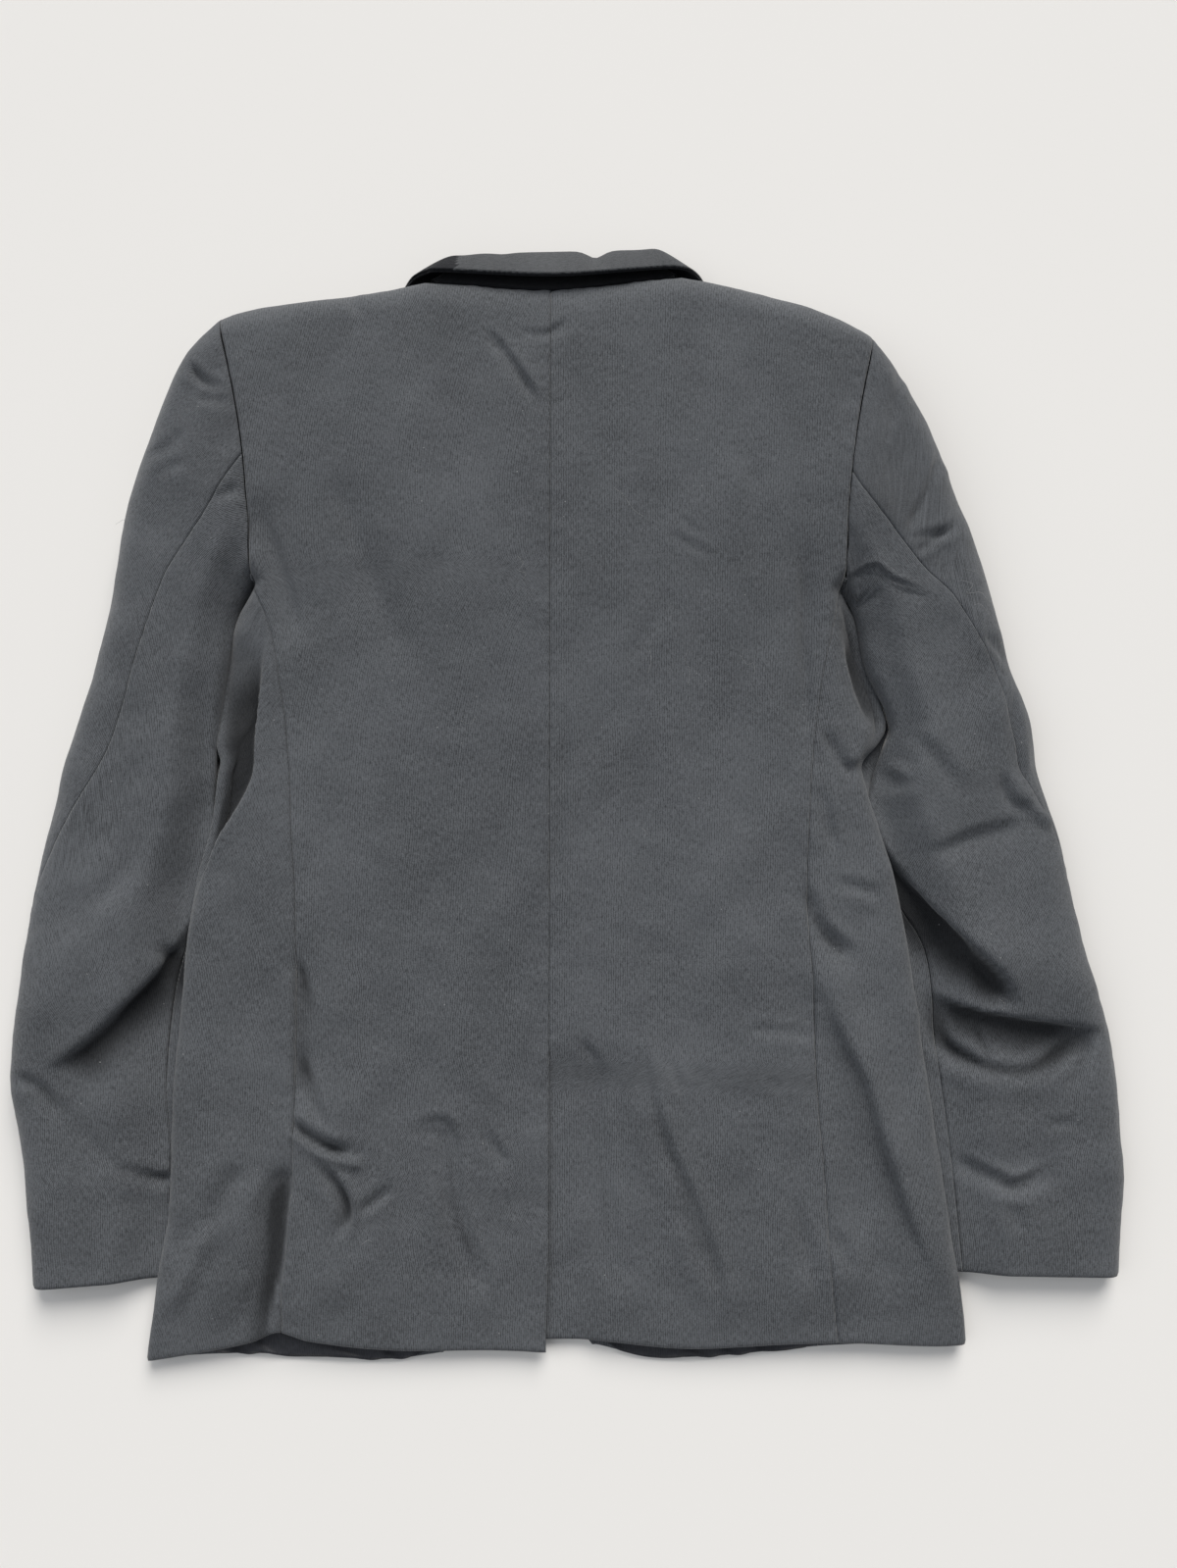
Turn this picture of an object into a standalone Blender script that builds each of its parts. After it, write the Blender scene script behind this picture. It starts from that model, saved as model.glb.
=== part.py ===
"""A blazer that lies face down on a flat surface, its back up and its sleeves beside it.

Left and right are seen from above, with the collar at +Y. Sizes are in millimetres until
a point is stored, and each piece of cloth is a closed wall with an outer and an inner face.
"""
import math
from collections import namedtuple

import bmesh
import bpy
from mathutils import Vector

MM = 0.001               # metres in a millimetre
MIDDLE = (0.33, -1.08)   # the outline's middle in the tables below

# Cloth
WALL = 2.0               # body and sleeve cloth with its canvas
COLLAR_WALL = 1.1        # each of the collar's two layers
LINING_WALL = 1.2
LAYER_GAP = 0.5          # air between layers that lie on each other
SEAM_GAP = 0.3           # between two pieces at a seam
SHOULDER_GAP = 0.3       # each way from the shoulder line
ARMHOLE_GAP = 0.7        # between the body and a sleeve, whose walls meet at an angle

# Body
ARMPIT_ROUND = 18.0      # how far the side's rounding reaches up the armhole
SHOULDER_ROUND = 26.0    # how far down the shoulder line rounds off
TUCK_SLOPE = 24.0        # width of the slope where the side comes down off a sleeve
VENT_TOP = -183.0
VENT_RAMP = 24.0         # the underlap's top edge slants over this height
UNDERLAP = 38.0          # how far the vent's lower layer reaches under the upper one
VENT_STEP = 2.9          # how far down the lower layer lies
BUTTON_RADIUS = 10.5
BUTTON_THICKNESS = 3.4
BUTTON_X = -10.0
BUTTON_HEIGHTS = {"button_upper": -60.0, "button_lower": -165.0}

BodySection = namedtuple(
    "BodySection", "y front_seam_left edge_left seam_left seam_right edge_right"
    " front_seam_right middle_height seam_height edge_height edge_round tuck_lift")
BODY = [
    BodySection(-378, -172, -271, -184, 179, 262, 166, 9.5, 10.5, 5.5, 6, 1),
    BodySection(-350, -172, -267, -182, 176, 260, 166, 10.5, 14, 9, 6, 5),
    BodySection(-336, -172, -265.5, -182, 174.5, 258, 165, 11, 16.5, 14, 6, 9.5),
    BodySection(-322, -172, -264, -182, 173, 256, 164, 11.5, 18, 15, 7, 10),
    BodySection(-278, -171, -258, -178, 171, 250, 162, 13, 18.5, 15, 7, 10),
    BodySection(-216, -170, -258, -176, 167, 242, 160, 14.5, 20, 15, 7, 10),
    BodySection(-140, -170, -254, -176, 164, 233, 158, 16, 21, 15.5, 7, 10),
    BodySection(-71, -172, -248, -179, 161.5, 223, 156, 18, 22, 15.5, 7, 10),
    BodySection(-35, -174, -240, -182, 163, 213, 158, 19.5, 23, 15.5, 7, 10),
    BodySection(5, -176, -235, -184, 165.5, 203, 160, 21.5, 24, 14.5, 8, 8.5),
    BodySection(25, -178, -233, -186, 167.5, 209, 162, 23, 24.5, 13, 10, 2.5),
    BodySection(44, -180, -231.5, -188, 170, 214, 164, 24, 25, 11, 12, 0),
    BodySection(80, -184, -229, -194, 176, 203, 168, 27, 26.5, 10, 14, 0),
    BodySection(112, -190, -222, -201, 184, 196.5, 173, 30, 28.5, 10, 14, 0),
    BodySection(136, -196, -213, -209.5, 189, 190, 177, 32, 31, 10, 14, 0),
    BodySection(200, -204, -213, -209.5, 193, 190, 184, 35, 37, 10, 14, 0),
    BodySection(290, -204, -213, -209.5, 193, 190, 184, 36, 41, 10, 14, 0),
    BodySection(360, -204, -213, -209.5, 193, 190, 184, 34, 42, 10, 14, 0),
]

# Shoulder points, armpits, how far each armhole bows in, and where the side seams meet it
Armhole = namedtuple("Armhole", "shoulder_x shoulder_y armpit_x armpit_y back_bow front_bow"
                                " back_join front_join")
ARMHOLES = {
    "left": Armhole(-239.5, 324, -213, 136, 7, 24, 141.5, 146),
    "right": Armhole(213, 310, 190, 131, -6, -24, 138, 142),
}

LinePoint = namedtuple("LinePoint", "x y height")
BACK_TOP = [
    LinePoint(-240, 324, 13), LinePoint(-224, 330, 13), LinePoint(-190, 336.5, 13),
    LinePoint(-155, 341, 13), LinePoint(-121, 347, 13), LinePoint(-99, 352, 13),
    LinePoint(-94, 351.6, 13.4), LinePoint(-66, 348.5, 19), LinePoint(-39, 344, 23),
    LinePoint(-10, 343, 24), LinePoint(20, 346, 23), LinePoint(50, 351, 20),
    LinePoint(77, 355.6, 13.4), LinePoint(82, 356, 13), LinePoint(105, 351, 13),
    LinePoint(140, 342, 13), LinePoint(174, 331, 13), LinePoint(194, 323, 13),
    LinePoint(213, 310, 13),
]
NECK_POINTS = {"left": -99.0, "right": 82.0}
NECKLINE = {
    "left": [LinePoint(-99, 352, 13), LinePoint(-93, 330, 8), LinePoint(-72, 288, 6)],
    "right": [LinePoint(56, 288, 6), LinePoint(77, 330, 8), LinePoint(82, 356, 13)],
}

HemPoint = namedtuple("HemPoint", "x y")
BACK_HEM = {
    "left": [HemPoint(-271, -377), HemPoint(-222, -369), HemPoint(-200, -364),
             HemPoint(-185, -358), HemPoint(-165, -364), HemPoint(-110, -370),
             HemPoint(-48, -370), HemPoint(-10, -371.5)],
    "right": [HemPoint(-50, -365), HemPoint(16, -364), HemPoint(80, -369),
              HemPoint(143, -366), HemPoint(180, -365), HemPoint(240, -367),
              HemPoint(262, -366)],
}
FRONT_HEM = {
    "left": [HemPoint(-271, -377), HemPoint(-220, -374), HemPoint(-172, -376),
             HemPoint(-115, -378), HemPoint(-80, -374)],
    "right": [HemPoint(22, -369), HemPoint(54, -376), HemPoint(93, -376.5),
              HemPoint(144, -372), HemPoint(166, -370), HemPoint(262, -366)],
}

FrontEdge = namedtuple("FrontEdge", "y left right")
FRONT_EDGE = [
    FrontEdge(-378, -84, 26), FrontEdge(-350, -52, 4), FrontEdge(-300, -16, -16),
    FrontEdge(-250, 2, -24), FrontEdge(-200, 9, -30), FrontEdge(-100, 12, -33),
    FrontEdge(-60, 10, -31), FrontEdge(0, -3, -19), FrontEdge(100, -24, 4),
    FrontEdge(200, -46, 27), FrontEdge(297, -70, 54), FrontEdge(360, -80, 66),
]

SleeveRing = namedtuple(
    "SleeveRing", "along outer_x outer_y inner_x inner_y height inner_height fold_level"
    " armhole hind_seam fore_seam")
# The seams are turns of the ring in degrees: 0 at the outer fold, 180 at the inner one
SLEEVES = {
    "left": [
        SleeveRing(0, -239.5, 324, -213, 136, 40, 30, 13, 1.0, 96, 186),
        SleeveRing(20, -262, 300, -214.5, 133.5, 42, 28, 11, 0.75, 100, 186),
        SleeveRing(60, -284, 248, -216, 130, 40, 26, 10.5, 0.4, 99, 185),
        SleeveRing(110, -302, 192, -218.5, 126, 36, 24, 10, 0.12, 93, 184),
        SleeveRing(160, -309, 140, -225, 112, 33, 24, 10, 0, 82, 182),
        SleeveRing(220, -319, 85, -231.5, 76, 31, 22, 10, 0, 74, 180),
        SleeveRing(285, -336, 22, -237.5, 12, 29, 12, 10, 0, 68, 176),
        SleeveRing(345, -348, -35, -234, -38, 27, 9, 10, 0, 40, 160),
        SleeveRing(415, -359, -107, -222, -107, 26, 8.5, 10, 0, 0, 122),
        SleeveRing(500, -365, -194, -216, -186, 23, 8.5, 10, 0, -14, 111),
        SleeveRing(560, -354, -254, -218, -250, 20, 8.5, 9, 0, -18, 114),
        SleeveRing(640, -345, -331, -226, -322, 17, 8.5, 8, 0, -22, 118),
    ],
    "right": [
        SleeveRing(0, 213, 310, 190, 131, 40, 30, 13, 1.0, 98, 186),
        SleeveRing(20, 227, 291, 191.5, 128, 42, 28, 11, 0.75, 101, 186),
        SleeveRing(60, 253, 241, 193.5, 125, 40, 26, 10.5, 0.4, 99, 185),
        SleeveRing(110, 281, 167, 196.5, 120, 36, 24, 10, 0.12, 88, 184),
        SleeveRing(150, 292, 130, 201, 106, 33, 24, 10, 0, 70, 182),
        SleeveRing(205, 304, 78, 207, 75, 31, 22, 10, 0, 50, 180),
        SleeveRing(240, 315, 46, 219, 40, 30, 18, 10, 0, 52, 177),
        SleeveRing(280, 320, 8, 208, 5, 29, 9, 10, 0, 44, 174),
        SleeveRing(330, 333, -42, 200, -38, 27, 9, 10, 0, 14, 160),
        SleeveRing(395, 345, -104, 203, -102, 26, 8.5, 10, 0, -6, 122),
        SleeveRing(475, 362, -178, 211, -176, 23, 8.5, 10, 0, -14, 122),
        SleeveRing(555, 365.5, -260, 224, -256, 20, 8.5, 9, 0, -18, 124),
        SleeveRing(640, 361, -323, 236, -321, 17, 8.5, 8, 0, -22, 128),
    ],
}

# Largest folds: from one end to the other, half width, and height (below zero a trough)
Fold = namedtuple("Fold", "x_from y_from x_to y_to half_width height")
BODY_FOLDS = [
    Fold(162, 160, 164, 40, 13, -3.5),
    Fold(200, 98, 208, 44, 12, -5),
    Fold(170, -120, 246, -325, 14, 4.5),
    Fold(154, -140, 212, -330, 15, -3.5),
    Fold(50, -165, 101, -345, 14, 3),
    Fold(22, -190, 36, -330, 14, -2.5),
    Fold(-206, 187, -180, 98, 14, -3),
    Fold(-153, 201, -110, 84, 17, -3),
    Fold(-186, -262, -192, -345, 12, -3.5),
    Fold(-76, -227, -60, -330, 14, -2.5),
    Fold(-225, 92, -228, 40, 12, -6),
]
SLEEVE_FOLDS = {
    "left": [
        Fold(-262, -95, -322, -180, 15, -7),
        Fold(-290, -80, -345, -150, 20, 4),
        Fold(-350, -196, -290, -252, 15, -3),
    ],
    "right": [
        Fold(236, -72, 296, -146, 14, -8),
        Fold(262, -172, 345, -168, 17, -7),
        Fold(270, -110, 350, -140, 20, 4),
        Fold(241, -46, 314, -26, 14, -3),
        Fold(256, -248, 321, -254, 14, -3),
    ],
}

CollarSection = namedtuple(
    "CollarSection", "along neck_x neck_y neck_z fold_x fold_y fold_z edge_x edge_y edge_z")
COLLAR = [
    CollarSection(0, -66.5, 290, 7.7, -52, 299, 5.5, -104, 270, 1.9),
    CollarSection(30, -89.5, 331, 8.5, -71, 341, 5.6, -122, 322, 1.9),
    CollarSection(60, -94.5, 346, 9, -80, 357, 6, -120, 345, 2.8),
    CollarSection(92, -95, 356.5, 13, -85, 366, 11.5, -110, 357.5, 12.5),
    CollarSection(124, -86, 354.5, 18, -78, 371, 17, -98, 357.5, 24),
    CollarSection(148, -70, 352, 20.5, -62, 373, 17.5, -86, 355, 31),
    CollarSection(184, -10, 346.5, 23, -8, 377, 14, -10, 348, 38),
    CollarSection(220, 50, 354.5, 21, 46, 376.5, 16.5, 48, 354, 34),
    CollarSection(244, 69, 358.5, 18, 61, 375.5, 17.5, 77, 360, 26),
    CollarSection(276, 78, 360.5, 13, 68, 370, 11.5, 93, 361.5, 12.5),
    CollarSection(308, 77.5, 350, 9, 64, 360.5, 6.3, 103, 349, 2.8),
    CollarSection(338, 72.5, 333, 8.5, 54, 344, 5.6, 105, 326, 1.9),
    CollarSection(368, 50, 292, 7.7, 35.5, 301, 5.5, 87, 272, 1.9),
]
COLLAR_FOLD_SOFTNESS = 0.09
COLLAR_FOLD_RADIUS = 2.9

LapelSection = namedtuple("LapelSection", "y roll outer")
LAPELS = {
    "left": [LapelSection(46, -14, -19), LapelSection(100, -25, -72),
             LapelSection(200, -48, -118), LapelSection(258, -62, -134)],
    "right": [LapelSection(46, -7, -1), LapelSection(100, 5, 52),
              LapelSection(200, 29, 98), LapelSection(258, 43, 116)],
}
LININGS = {"left": (-166.0, -92.0), "right": (40.0, 156.0)}
LINING_HEIGHT = 60.0

# Squares of cloth in each kind of piece
LOWER_ROWS = 22          # from the hem up to the side seam's top end
UPPER_ROWS = 12          # from there up to the shoulder line
BACK_ACROSS = 13
FRONT_ACROSS = 7
SIDE_ACROSS = 13
SIDE_FOLD_AT = 7 / 13    # where across a side panel its fold lies
SLEEVE_ROWS = 24
TOP_SLEEVE_ACROSS = 15
UNDER_SLEEVE_ACROSS = 7
COLLAR_GRID = (8, 32)
LAPEL_GRID = (4, 10)
LINING_GRID = (8, 3)

CHARCOAL = (0.077, 0.080, 0.086)
FELT = (0.006, 0.007, 0.009)
SATIN = (0.020, 0.021, 0.025)
HORN = (0.018, 0.016, 0.015)
OUTWARD = {"left": -1.0, "right": 1.0}


def lerp(start, end, share):
    """The value this share of the way from start to end."""
    return start + (end - start) * share


def smooth(share):
    """An easing from 0 to 1 that starts and ends level."""
    share = min(max(share, 0.0), 1.0)
    return share * share * (3.0 - 2.0 * share)


def rounding(distance, reach):
    """The height share of a rounded edge: 0 on the edge, 1 once reach is passed."""
    share = min(max(distance / reach, 0.0), 1.0)
    return math.sqrt(1.0 - (1.0 - share) ** 2)


def read(table, column, key):
    """Read a column between the rows of a table, whose first column rises, as a curve."""
    last = len(table) - 1
    key = min(max(key, table[0][0]), table[last][0])
    row = 0
    while row < last - 1 and table[row + 1][0] < key:
        row += 1

    def slope(index):
        before = table[max(index - 1, 0)]
        after = table[min(index + 1, last)]
        return (getattr(after, column) - getattr(before, column)) / (after[0] - before[0])

    start, end = table[row], table[row + 1]
    span = end[0] - start[0]
    share = (key - start[0]) / span
    rest = 1.0 - share
    return (getattr(start, column) * (1.0 + 2.0 * share) * rest * rest
            + slope(row) * span * share * rest * rest
            + getattr(end, column) * (3.0 - 2.0 * share) * share * share
            - slope(row + 1) * span * share * share * rest)


def fold_height(folds, x, y):
    """The sum of the folds at a point, each one a soft line that fades at its ends."""
    total = 0.0
    for fold in folds:
        run_x, run_y = fold.x_to - fold.x_from, fold.y_to - fold.y_from
        length = math.hypot(run_x, run_y)
        along = ((x - fold.x_from) * run_x + (y - fold.y_from) * run_y) / length
        aside = ((x - fold.x_from) * run_y - (y - fold.y_from) * run_x) / length
        ends = smooth((along + fold.half_width) / (2.0 * fold.half_width))
        ends *= smooth((length + fold.half_width - along) / (2.0 * fold.half_width))
        total += fold.height * ends * math.exp(-(aside / fold.half_width) ** 2)
    return total


def armhole_x(side, y, bow):
    """Where an armhole curve is at a height between its armpit and its shoulder point."""
    hole = ARMHOLES[side]
    share = (hole.shoulder_y - y) / (hole.shoulder_y - hole.armpit_y)
    share = min(max(share, 0.0), 1.0)
    return lerp(hole.shoulder_x, hole.armpit_x, share) + bow * math.sin(math.pi * share)


def seam_rail(side, y, column, join_y, bow, run):
    """A side seam that runs up into an armhole curve, which it meets at join_y."""
    if y >= join_y:
        return armhole_x(side, y, bow)
    drift = armhole_x(side, join_y, bow) - read(BODY, column + side, join_y)
    return read(BODY, column + side, y) + drift * smooth((y - join_y + run) / run)


def back_rail(side, y):
    """The back panel's outer seam and armhole."""
    hole = ARMHOLES[side]
    return seam_rail(side, y, "seam_", hole.back_join, hole.back_bow, 50.0)


def front_rail(side, y):
    """The front panel's outer seam, on the underside, and its armhole."""
    hole = ARMHOLES[side]
    return seam_rail(side, y, "front_seam_", hole.front_join, hole.front_bow, 70.0)


def centre_x(y):
    """The centre back seam and, below it, the vent's upper edge."""
    return -10.0 - 1.5 * smooth((-y - 300.0) / 70.0)


def sleeve_inner_x(side, y):
    """The sleeve's inner fold at a height."""
    rings = SLEEVES[side]
    for upper, lower in zip(rings, rings[1:]):
        if lower.inner_y <= y <= upper.inner_y:
            share = (upper.inner_y - y) / (upper.inner_y - lower.inner_y)
            return lerp(upper.inner_x, lower.inner_x, share)
    return rings[-1].inner_x


def edge_x(side, y):
    """The body's side fold, which ends at the armpit."""
    hole = ARMHOLES[side]
    drift = hole.armpit_x - read(BODY, "edge_" + side, hole.armpit_y)
    return (read(BODY, "edge_" + side, min(y, hole.armpit_y))
            + drift * smooth((y - hole.armpit_y + 20.0) / 20.0))


def edge_rounding(side, x, y):
    """The height share of the body's rounded side fold."""
    reach = read(BODY, "edge_round", y)
    above = max(0.0, y - ARMHOLES[side].armpit_y)
    inward = max(0.0, OUTWARD[side] * (edge_x(side, y) - x))
    return rounding(inward / reach + above / ARMPIT_ROUND, 1.0)


def back_height(side, x, y):
    """The back's outer face over a point."""
    across = (x - centre_x(y)) / (back_rail(side, y) - centre_x(y))
    height = lerp(read(BODY, "middle_height", y), read(BODY, "seam_height", y), smooth(across))
    height += fold_height(BODY_FOLDS, x, y)
    height = lerp(read(BODY, "edge_height", y), height, edge_rounding(side, x, y))
    return lerp(read(BACK_TOP, "height", x) + SHOULDER_GAP, height,
                rounding(read(BACK_TOP, "y", x) - y, SHOULDER_ROUND))


def front_top(side, column, x):
    """The front's top line: the shoulder, then from the neck point down the neckline."""
    if OUTWARD[side] * (x - NECK_POINTS[side]) > 0.0:
        return read(BACK_TOP, column, x)
    return read(NECKLINE[side], column, x)


def over_lapel(side, x, y):
    """1 over a lapel or the collar's end, 0 clear of them."""
    rows = LAPELS[side]
    reach = OUTWARD[side] * (read(rows, "outer", min(y, rows[-1].y)) - x)
    return smooth((reach + 42.0) / 24.0) * smooth((y - rows[0].y + 44.0) / 30.0)


def left_front_height(x, y):
    """How far the left front is lifted by its lapel and the buttons under it."""
    height = (WALL + LAYER_GAP) * over_lapel("left", x, y)
    for button_y in BUTTON_HEIGHTS.values():
        away = math.hypot(x - BUTTON_X, y - button_y) - BUTTON_RADIUS
        lift = 1.0 - smooth((away - 22.0) / 20.0)
        height = max(height, (BUTTON_THICKNESS + LAYER_GAP) * lift)
    return height


def front_height(side, x, y):
    """The front's underside: on the surface, or on what lies under it."""
    if side == "left":
        height = left_front_height(x, y)
    else:
        height = (WALL + LAYER_GAP) * over_lapel(side, x, y)
        overlap = smooth((read(FRONT_EDGE, "left", y) + 44.0 - x) / 28.0)
        overlap *= smooth((90.0 - y) / 40.0)
        under = left_front_height(min(x, 10.0), y)
        height = max(height, (under + WALL + 3.0 * LAYER_GAP) * overlap)
    neck = smooth((y - 232.0) / 26.0) * over_lapel(side, x, 258.0)
    return max(height, 6.0 * neck)


def bottom_height(side, x, y):
    """The underside's outer face over a point, lifted also where it lies on a sleeve."""
    inward = OUTWARD[side] * (edge_x(side, y) - x)
    tuck = max(0.0, OUTWARD[side] * (edge_x(side, y) - sleeve_inner_x(side, y)))
    lift = read(BODY, "tuck_lift", y) * (1.0 - smooth((inward - tuck - 4.0) / TUCK_SLOPE))
    height = max(front_height(side, x, y), lift)
    height = lerp(read(BODY, "edge_height", y), height, edge_rounding(side, x, y))
    return lerp(front_top(side, "height", x) - SHOULDER_GAP, height,
                rounding(front_top(side, "y", x) - y, SHOULDER_ROUND))


def vent_drop(x, y):
    """How far the right back panel steps down to pass under the left one's vent edge."""
    down = smooth((VENT_TOP + 2.2 * VENT_RAMP - y) / VENT_RAMP)
    return VENT_STEP * down * (1.0 - smooth((x - centre_x(y) - 20.0) / 22.0))


def settle(share, x_at, bottom_at, top_at):
    """A point on a lengthwise line whose ends are on the hem and the top line."""
    y = lerp(-370.0, 340.0, share)
    for _ in range(6):
        x = x_at(y)
        y = lerp(bottom_at(x), top_at(x), share)
    return x, y


def panel_share(along, join_x, join_y, bottom_at, top_at):
    """A row's share of a panel's length: even to the join, then closing up to the top."""
    join = (join_y - bottom_at(join_x)) / (top_at(join_x) - bottom_at(join_x))
    row = along * (LOWER_ROWS + UPPER_ROWS)
    if row <= LOWER_ROWS:
        return join * row / LOWER_ROWS
    upper = min((row - LOWER_ROWS) / UPPER_ROWS, 1.0)
    return lerp(join, 1.0, 1.0 - (1.0 - upper) ** 1.35)


def back_seam_point(side, along, gap):
    """A point on the back's outer seam, moved outward by gap."""
    hole = ARMHOLES[side]

    def hem(x):
        return read(BACK_HEM[side], "y", x)

    def top(x):
        return read(BACK_TOP, "y", x)

    share = panel_share(along, back_rail(side, hole.back_join), hole.back_join, hem, top)
    return settle(share, lambda y: back_rail(side, y) + OUTWARD[side] * gap, hem, top)


def front_seam_point(side, along, gap):
    """A point on the front's outer seam, moved outward by gap."""
    hole = ARMHOLES[side]

    def hem(x):
        return read(FRONT_HEM[side], "y", x)

    def top(x):
        return front_top(side, "y", x)

    share = panel_share(along, front_rail(side, hole.front_join), hole.front_join, hem, top)
    return settle(share, lambda y: front_rail(side, y) + OUTWARD[side] * gap, hem, top)


def facing(face, grid, across, along, end_step=0.002):
    """The direction a surface faces at a point, taken from its neighbours on the grid."""
    across_step = 1.0 / grid[0] if 0.001 < across < 0.999 else 0.002
    along_step = 1.0 / grid[1] if 0.001 < along < 0.999 else end_step
    low, high = max(across - across_step, 0.0), min(across + across_step, 1.0)
    over = Vector(face(high, along)) - Vector(face(low, along))
    low, high = max(along - along_step, 0.0), min(along + along_step, 1.0)
    up = Vector(face(across, high)) - Vector(face(across, low))
    return over.cross(up).normalized()


def cloth(name, grid, face, wall, colour, roughness, square="", inner_face=None):
    """Build a wall of cloth: a flat grid given a thickness, each corner put on the garment.

    face(across, along) is a point of the outer face. The inner face is a wall's
    thickness behind it or is inner_face. The wall's end is kept square, with no
    sideways shift, at the seams along its length for "seams" and at its first row for
    "start".
    """
    shape = bmesh.new()
    bmesh.ops.create_grid(shape, x_segments=grid[0], y_segments=grid[1], size=0.5)
    sheet = bmesh.ops.extrude_face_region(shape, geom=list(shape.faces))
    for item in sheet["geom"]:
        if isinstance(item, bmesh.types.BMVert):
            item.co.z = -1.0
    for corner in shape.verts:
        across, along, inner = corner.co.x + 0.5, corner.co.y + 0.5, corner.co.z < -0.5
        place = Vector(face(across, along))
        if inner and inner_face:
            place = inner_face(across, along)
        elif inner:
            inward = facing(face, grid, across, along)
            if (square == "seams" and not 0.001 < across < 0.999
                    or square == "start" and along < 0.001):
                inward.x = 0.0
            place -= inward.normalized() * wall
        corner.co = place * MM
    bmesh.ops.recalc_face_normals(shape, faces=shape.faces)
    if shape.calc_volume(signed=True) < 0.0:
        bmesh.ops.reverse_faces(shape, faces=shape.faces)
    return finish(name, shape, colour, roughness)


def finish(name, shape, colour, roughness):
    """Make the named object with its own material, under the garment's empty."""
    mesh = bpy.data.meshes.new(name)
    shape.to_mesh(mesh)
    shape.free()
    mesh.shade_smooth()
    material = bpy.data.materials.new(name + "_cloth")
    material.use_nodes = True
    principled = material.node_tree.nodes["Principled BSDF"]
    principled.inputs["Base Color"].default_value = (*colour, 1.0)
    principled.inputs["Roughness"].default_value = roughness
    principled.inputs["Metallic"].default_value = 0.0
    mesh.materials.append(material)
    piece = bpy.data.objects.new(name, mesh)
    bpy.context.scene.collection.objects.link(piece)
    piece.parent = bpy.data.objects["blazer"]
    return piece


def back_panel(side):
    """A back panel, from the centre seam out to the side seam and the armhole."""
    hole = ARMHOLES[side]

    def hem(x):
        return read(BACK_HEM[side], "y", x)

    def top(x):
        return read(BACK_TOP, "y", x)

    def inner_rail(y):
        x = centre_x(y) + OUTWARD[side] * SEAM_GAP / 2.0
        if side == "right":
            x -= UNDERLAP * smooth((VENT_TOP - y) / VENT_RAMP)
        return x

    def outer_rail(y):
        gap = SEAM_GAP / 2.0 if y < hole.back_join - 30.0 else ARMHOLE_GAP / 2.0
        return back_rail(side, y) - OUTWARD[side] * gap

    def face(across, along):
        if side == "left":
            across = 1.0 - across
        share = panel_share(along, back_rail(side, hole.back_join), hole.back_join, hem, top)
        x, y = settle(share, lambda y: lerp(inner_rail(y), outer_rail(y), across), hem, top)
        height = back_height(side, x, y)
        if side == "right":
            height -= vent_drop(x, y)
        return x, y, height

    return cloth("back_" + side, (BACK_ACROSS, LOWER_ROWS + UPPER_ROWS), face, WALL,
                 CHARCOAL, 0.85, "seams")


def side_panel(side):
    """A side panel, from the back seam round the side fold to the front seam below."""
    hole = ARMHOLES[side]
    grid = (SIDE_ACROSS, LOWER_ROWS)
    lower_share = LOWER_ROWS / (LOWER_ROWS + UPPER_ROWS)

    def seam_turn(across):
        """How far a point is from the fold to the seam, less than zero on the underside."""
        from_fold = SIDE_FOLD_AT - (1.0 - across if side == "left" else across)
        return from_fold / (SIDE_FOLD_AT if from_fold > -0.0001 else 1.0 - SIDE_FOLD_AT)

    def face(across, along):
        turn = seam_turn(across)
        on_top = turn > -0.0001
        if on_top:
            seam = back_seam_point(side, along * lower_share, SEAM_GAP / 2.0)
            hem, bow, join_y = BACK_HEM[side], hole.back_bow, hole.back_join
        else:
            seam = front_seam_point(side, along * lower_share, SEAM_GAP / 2.0)
            hem, bow, join_y = FRONT_HEM[side], hole.front_bow, hole.front_join
        rail_x = armhole_x(side, join_y, bow)
        edge = settle(along, lambda y: edge_x(side, y), lambda x: read(hem, "y", x),
                      lambda x: hole.armpit_y - 0.3 * ARMHOLE_GAP)
        share = abs(turn) ** 1.7
        x, y = lerp(edge[0], seam[0], share), lerp(edge[1], seam[1], share)
        straight = lerp(read(hem, "y", edge[0]), read(hem, "y", seam[0]), share)
        y += (read(hem, "y", x) - straight) * (1.0 - along) ** 3
        top_x, top_y = lerp(edge_x(side, hole.armpit_y), rail_x, share), lerp(
            hole.armpit_y, join_y, share)
        curve_x = armhole_x(side, top_y, bow) - OUTWARD[side] * ARMHOLE_GAP / 2.0
        x += (curve_x - top_x) * along ** 8
        height = back_height(side, x, y) if on_top else bottom_height(side, x, y)
        return x, y, height

    def inner_face(across, along):
        """The inner face, upright under the seams and the narrow corners at the top."""
        inward = facing(face, grid, across, along, 1.0 / LOWER_ROWS)
        turn = seam_turn(across)
        if along > 0.999:
            room = 1.0 - abs(turn) ** 1.7
            inward = Vector((inward.x * room, inward.y * room,
                             inward.z + math.copysign(1.0 - room, turn)))
        elif abs(turn) > 0.999:
            inward.x = 0.0
        return Vector(face(across, along)) - inward.normalized() * WALL

    return cloth("side_" + side, grid, face, WALL, CHARCOAL, 0.85, inner_face=inner_face)


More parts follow.
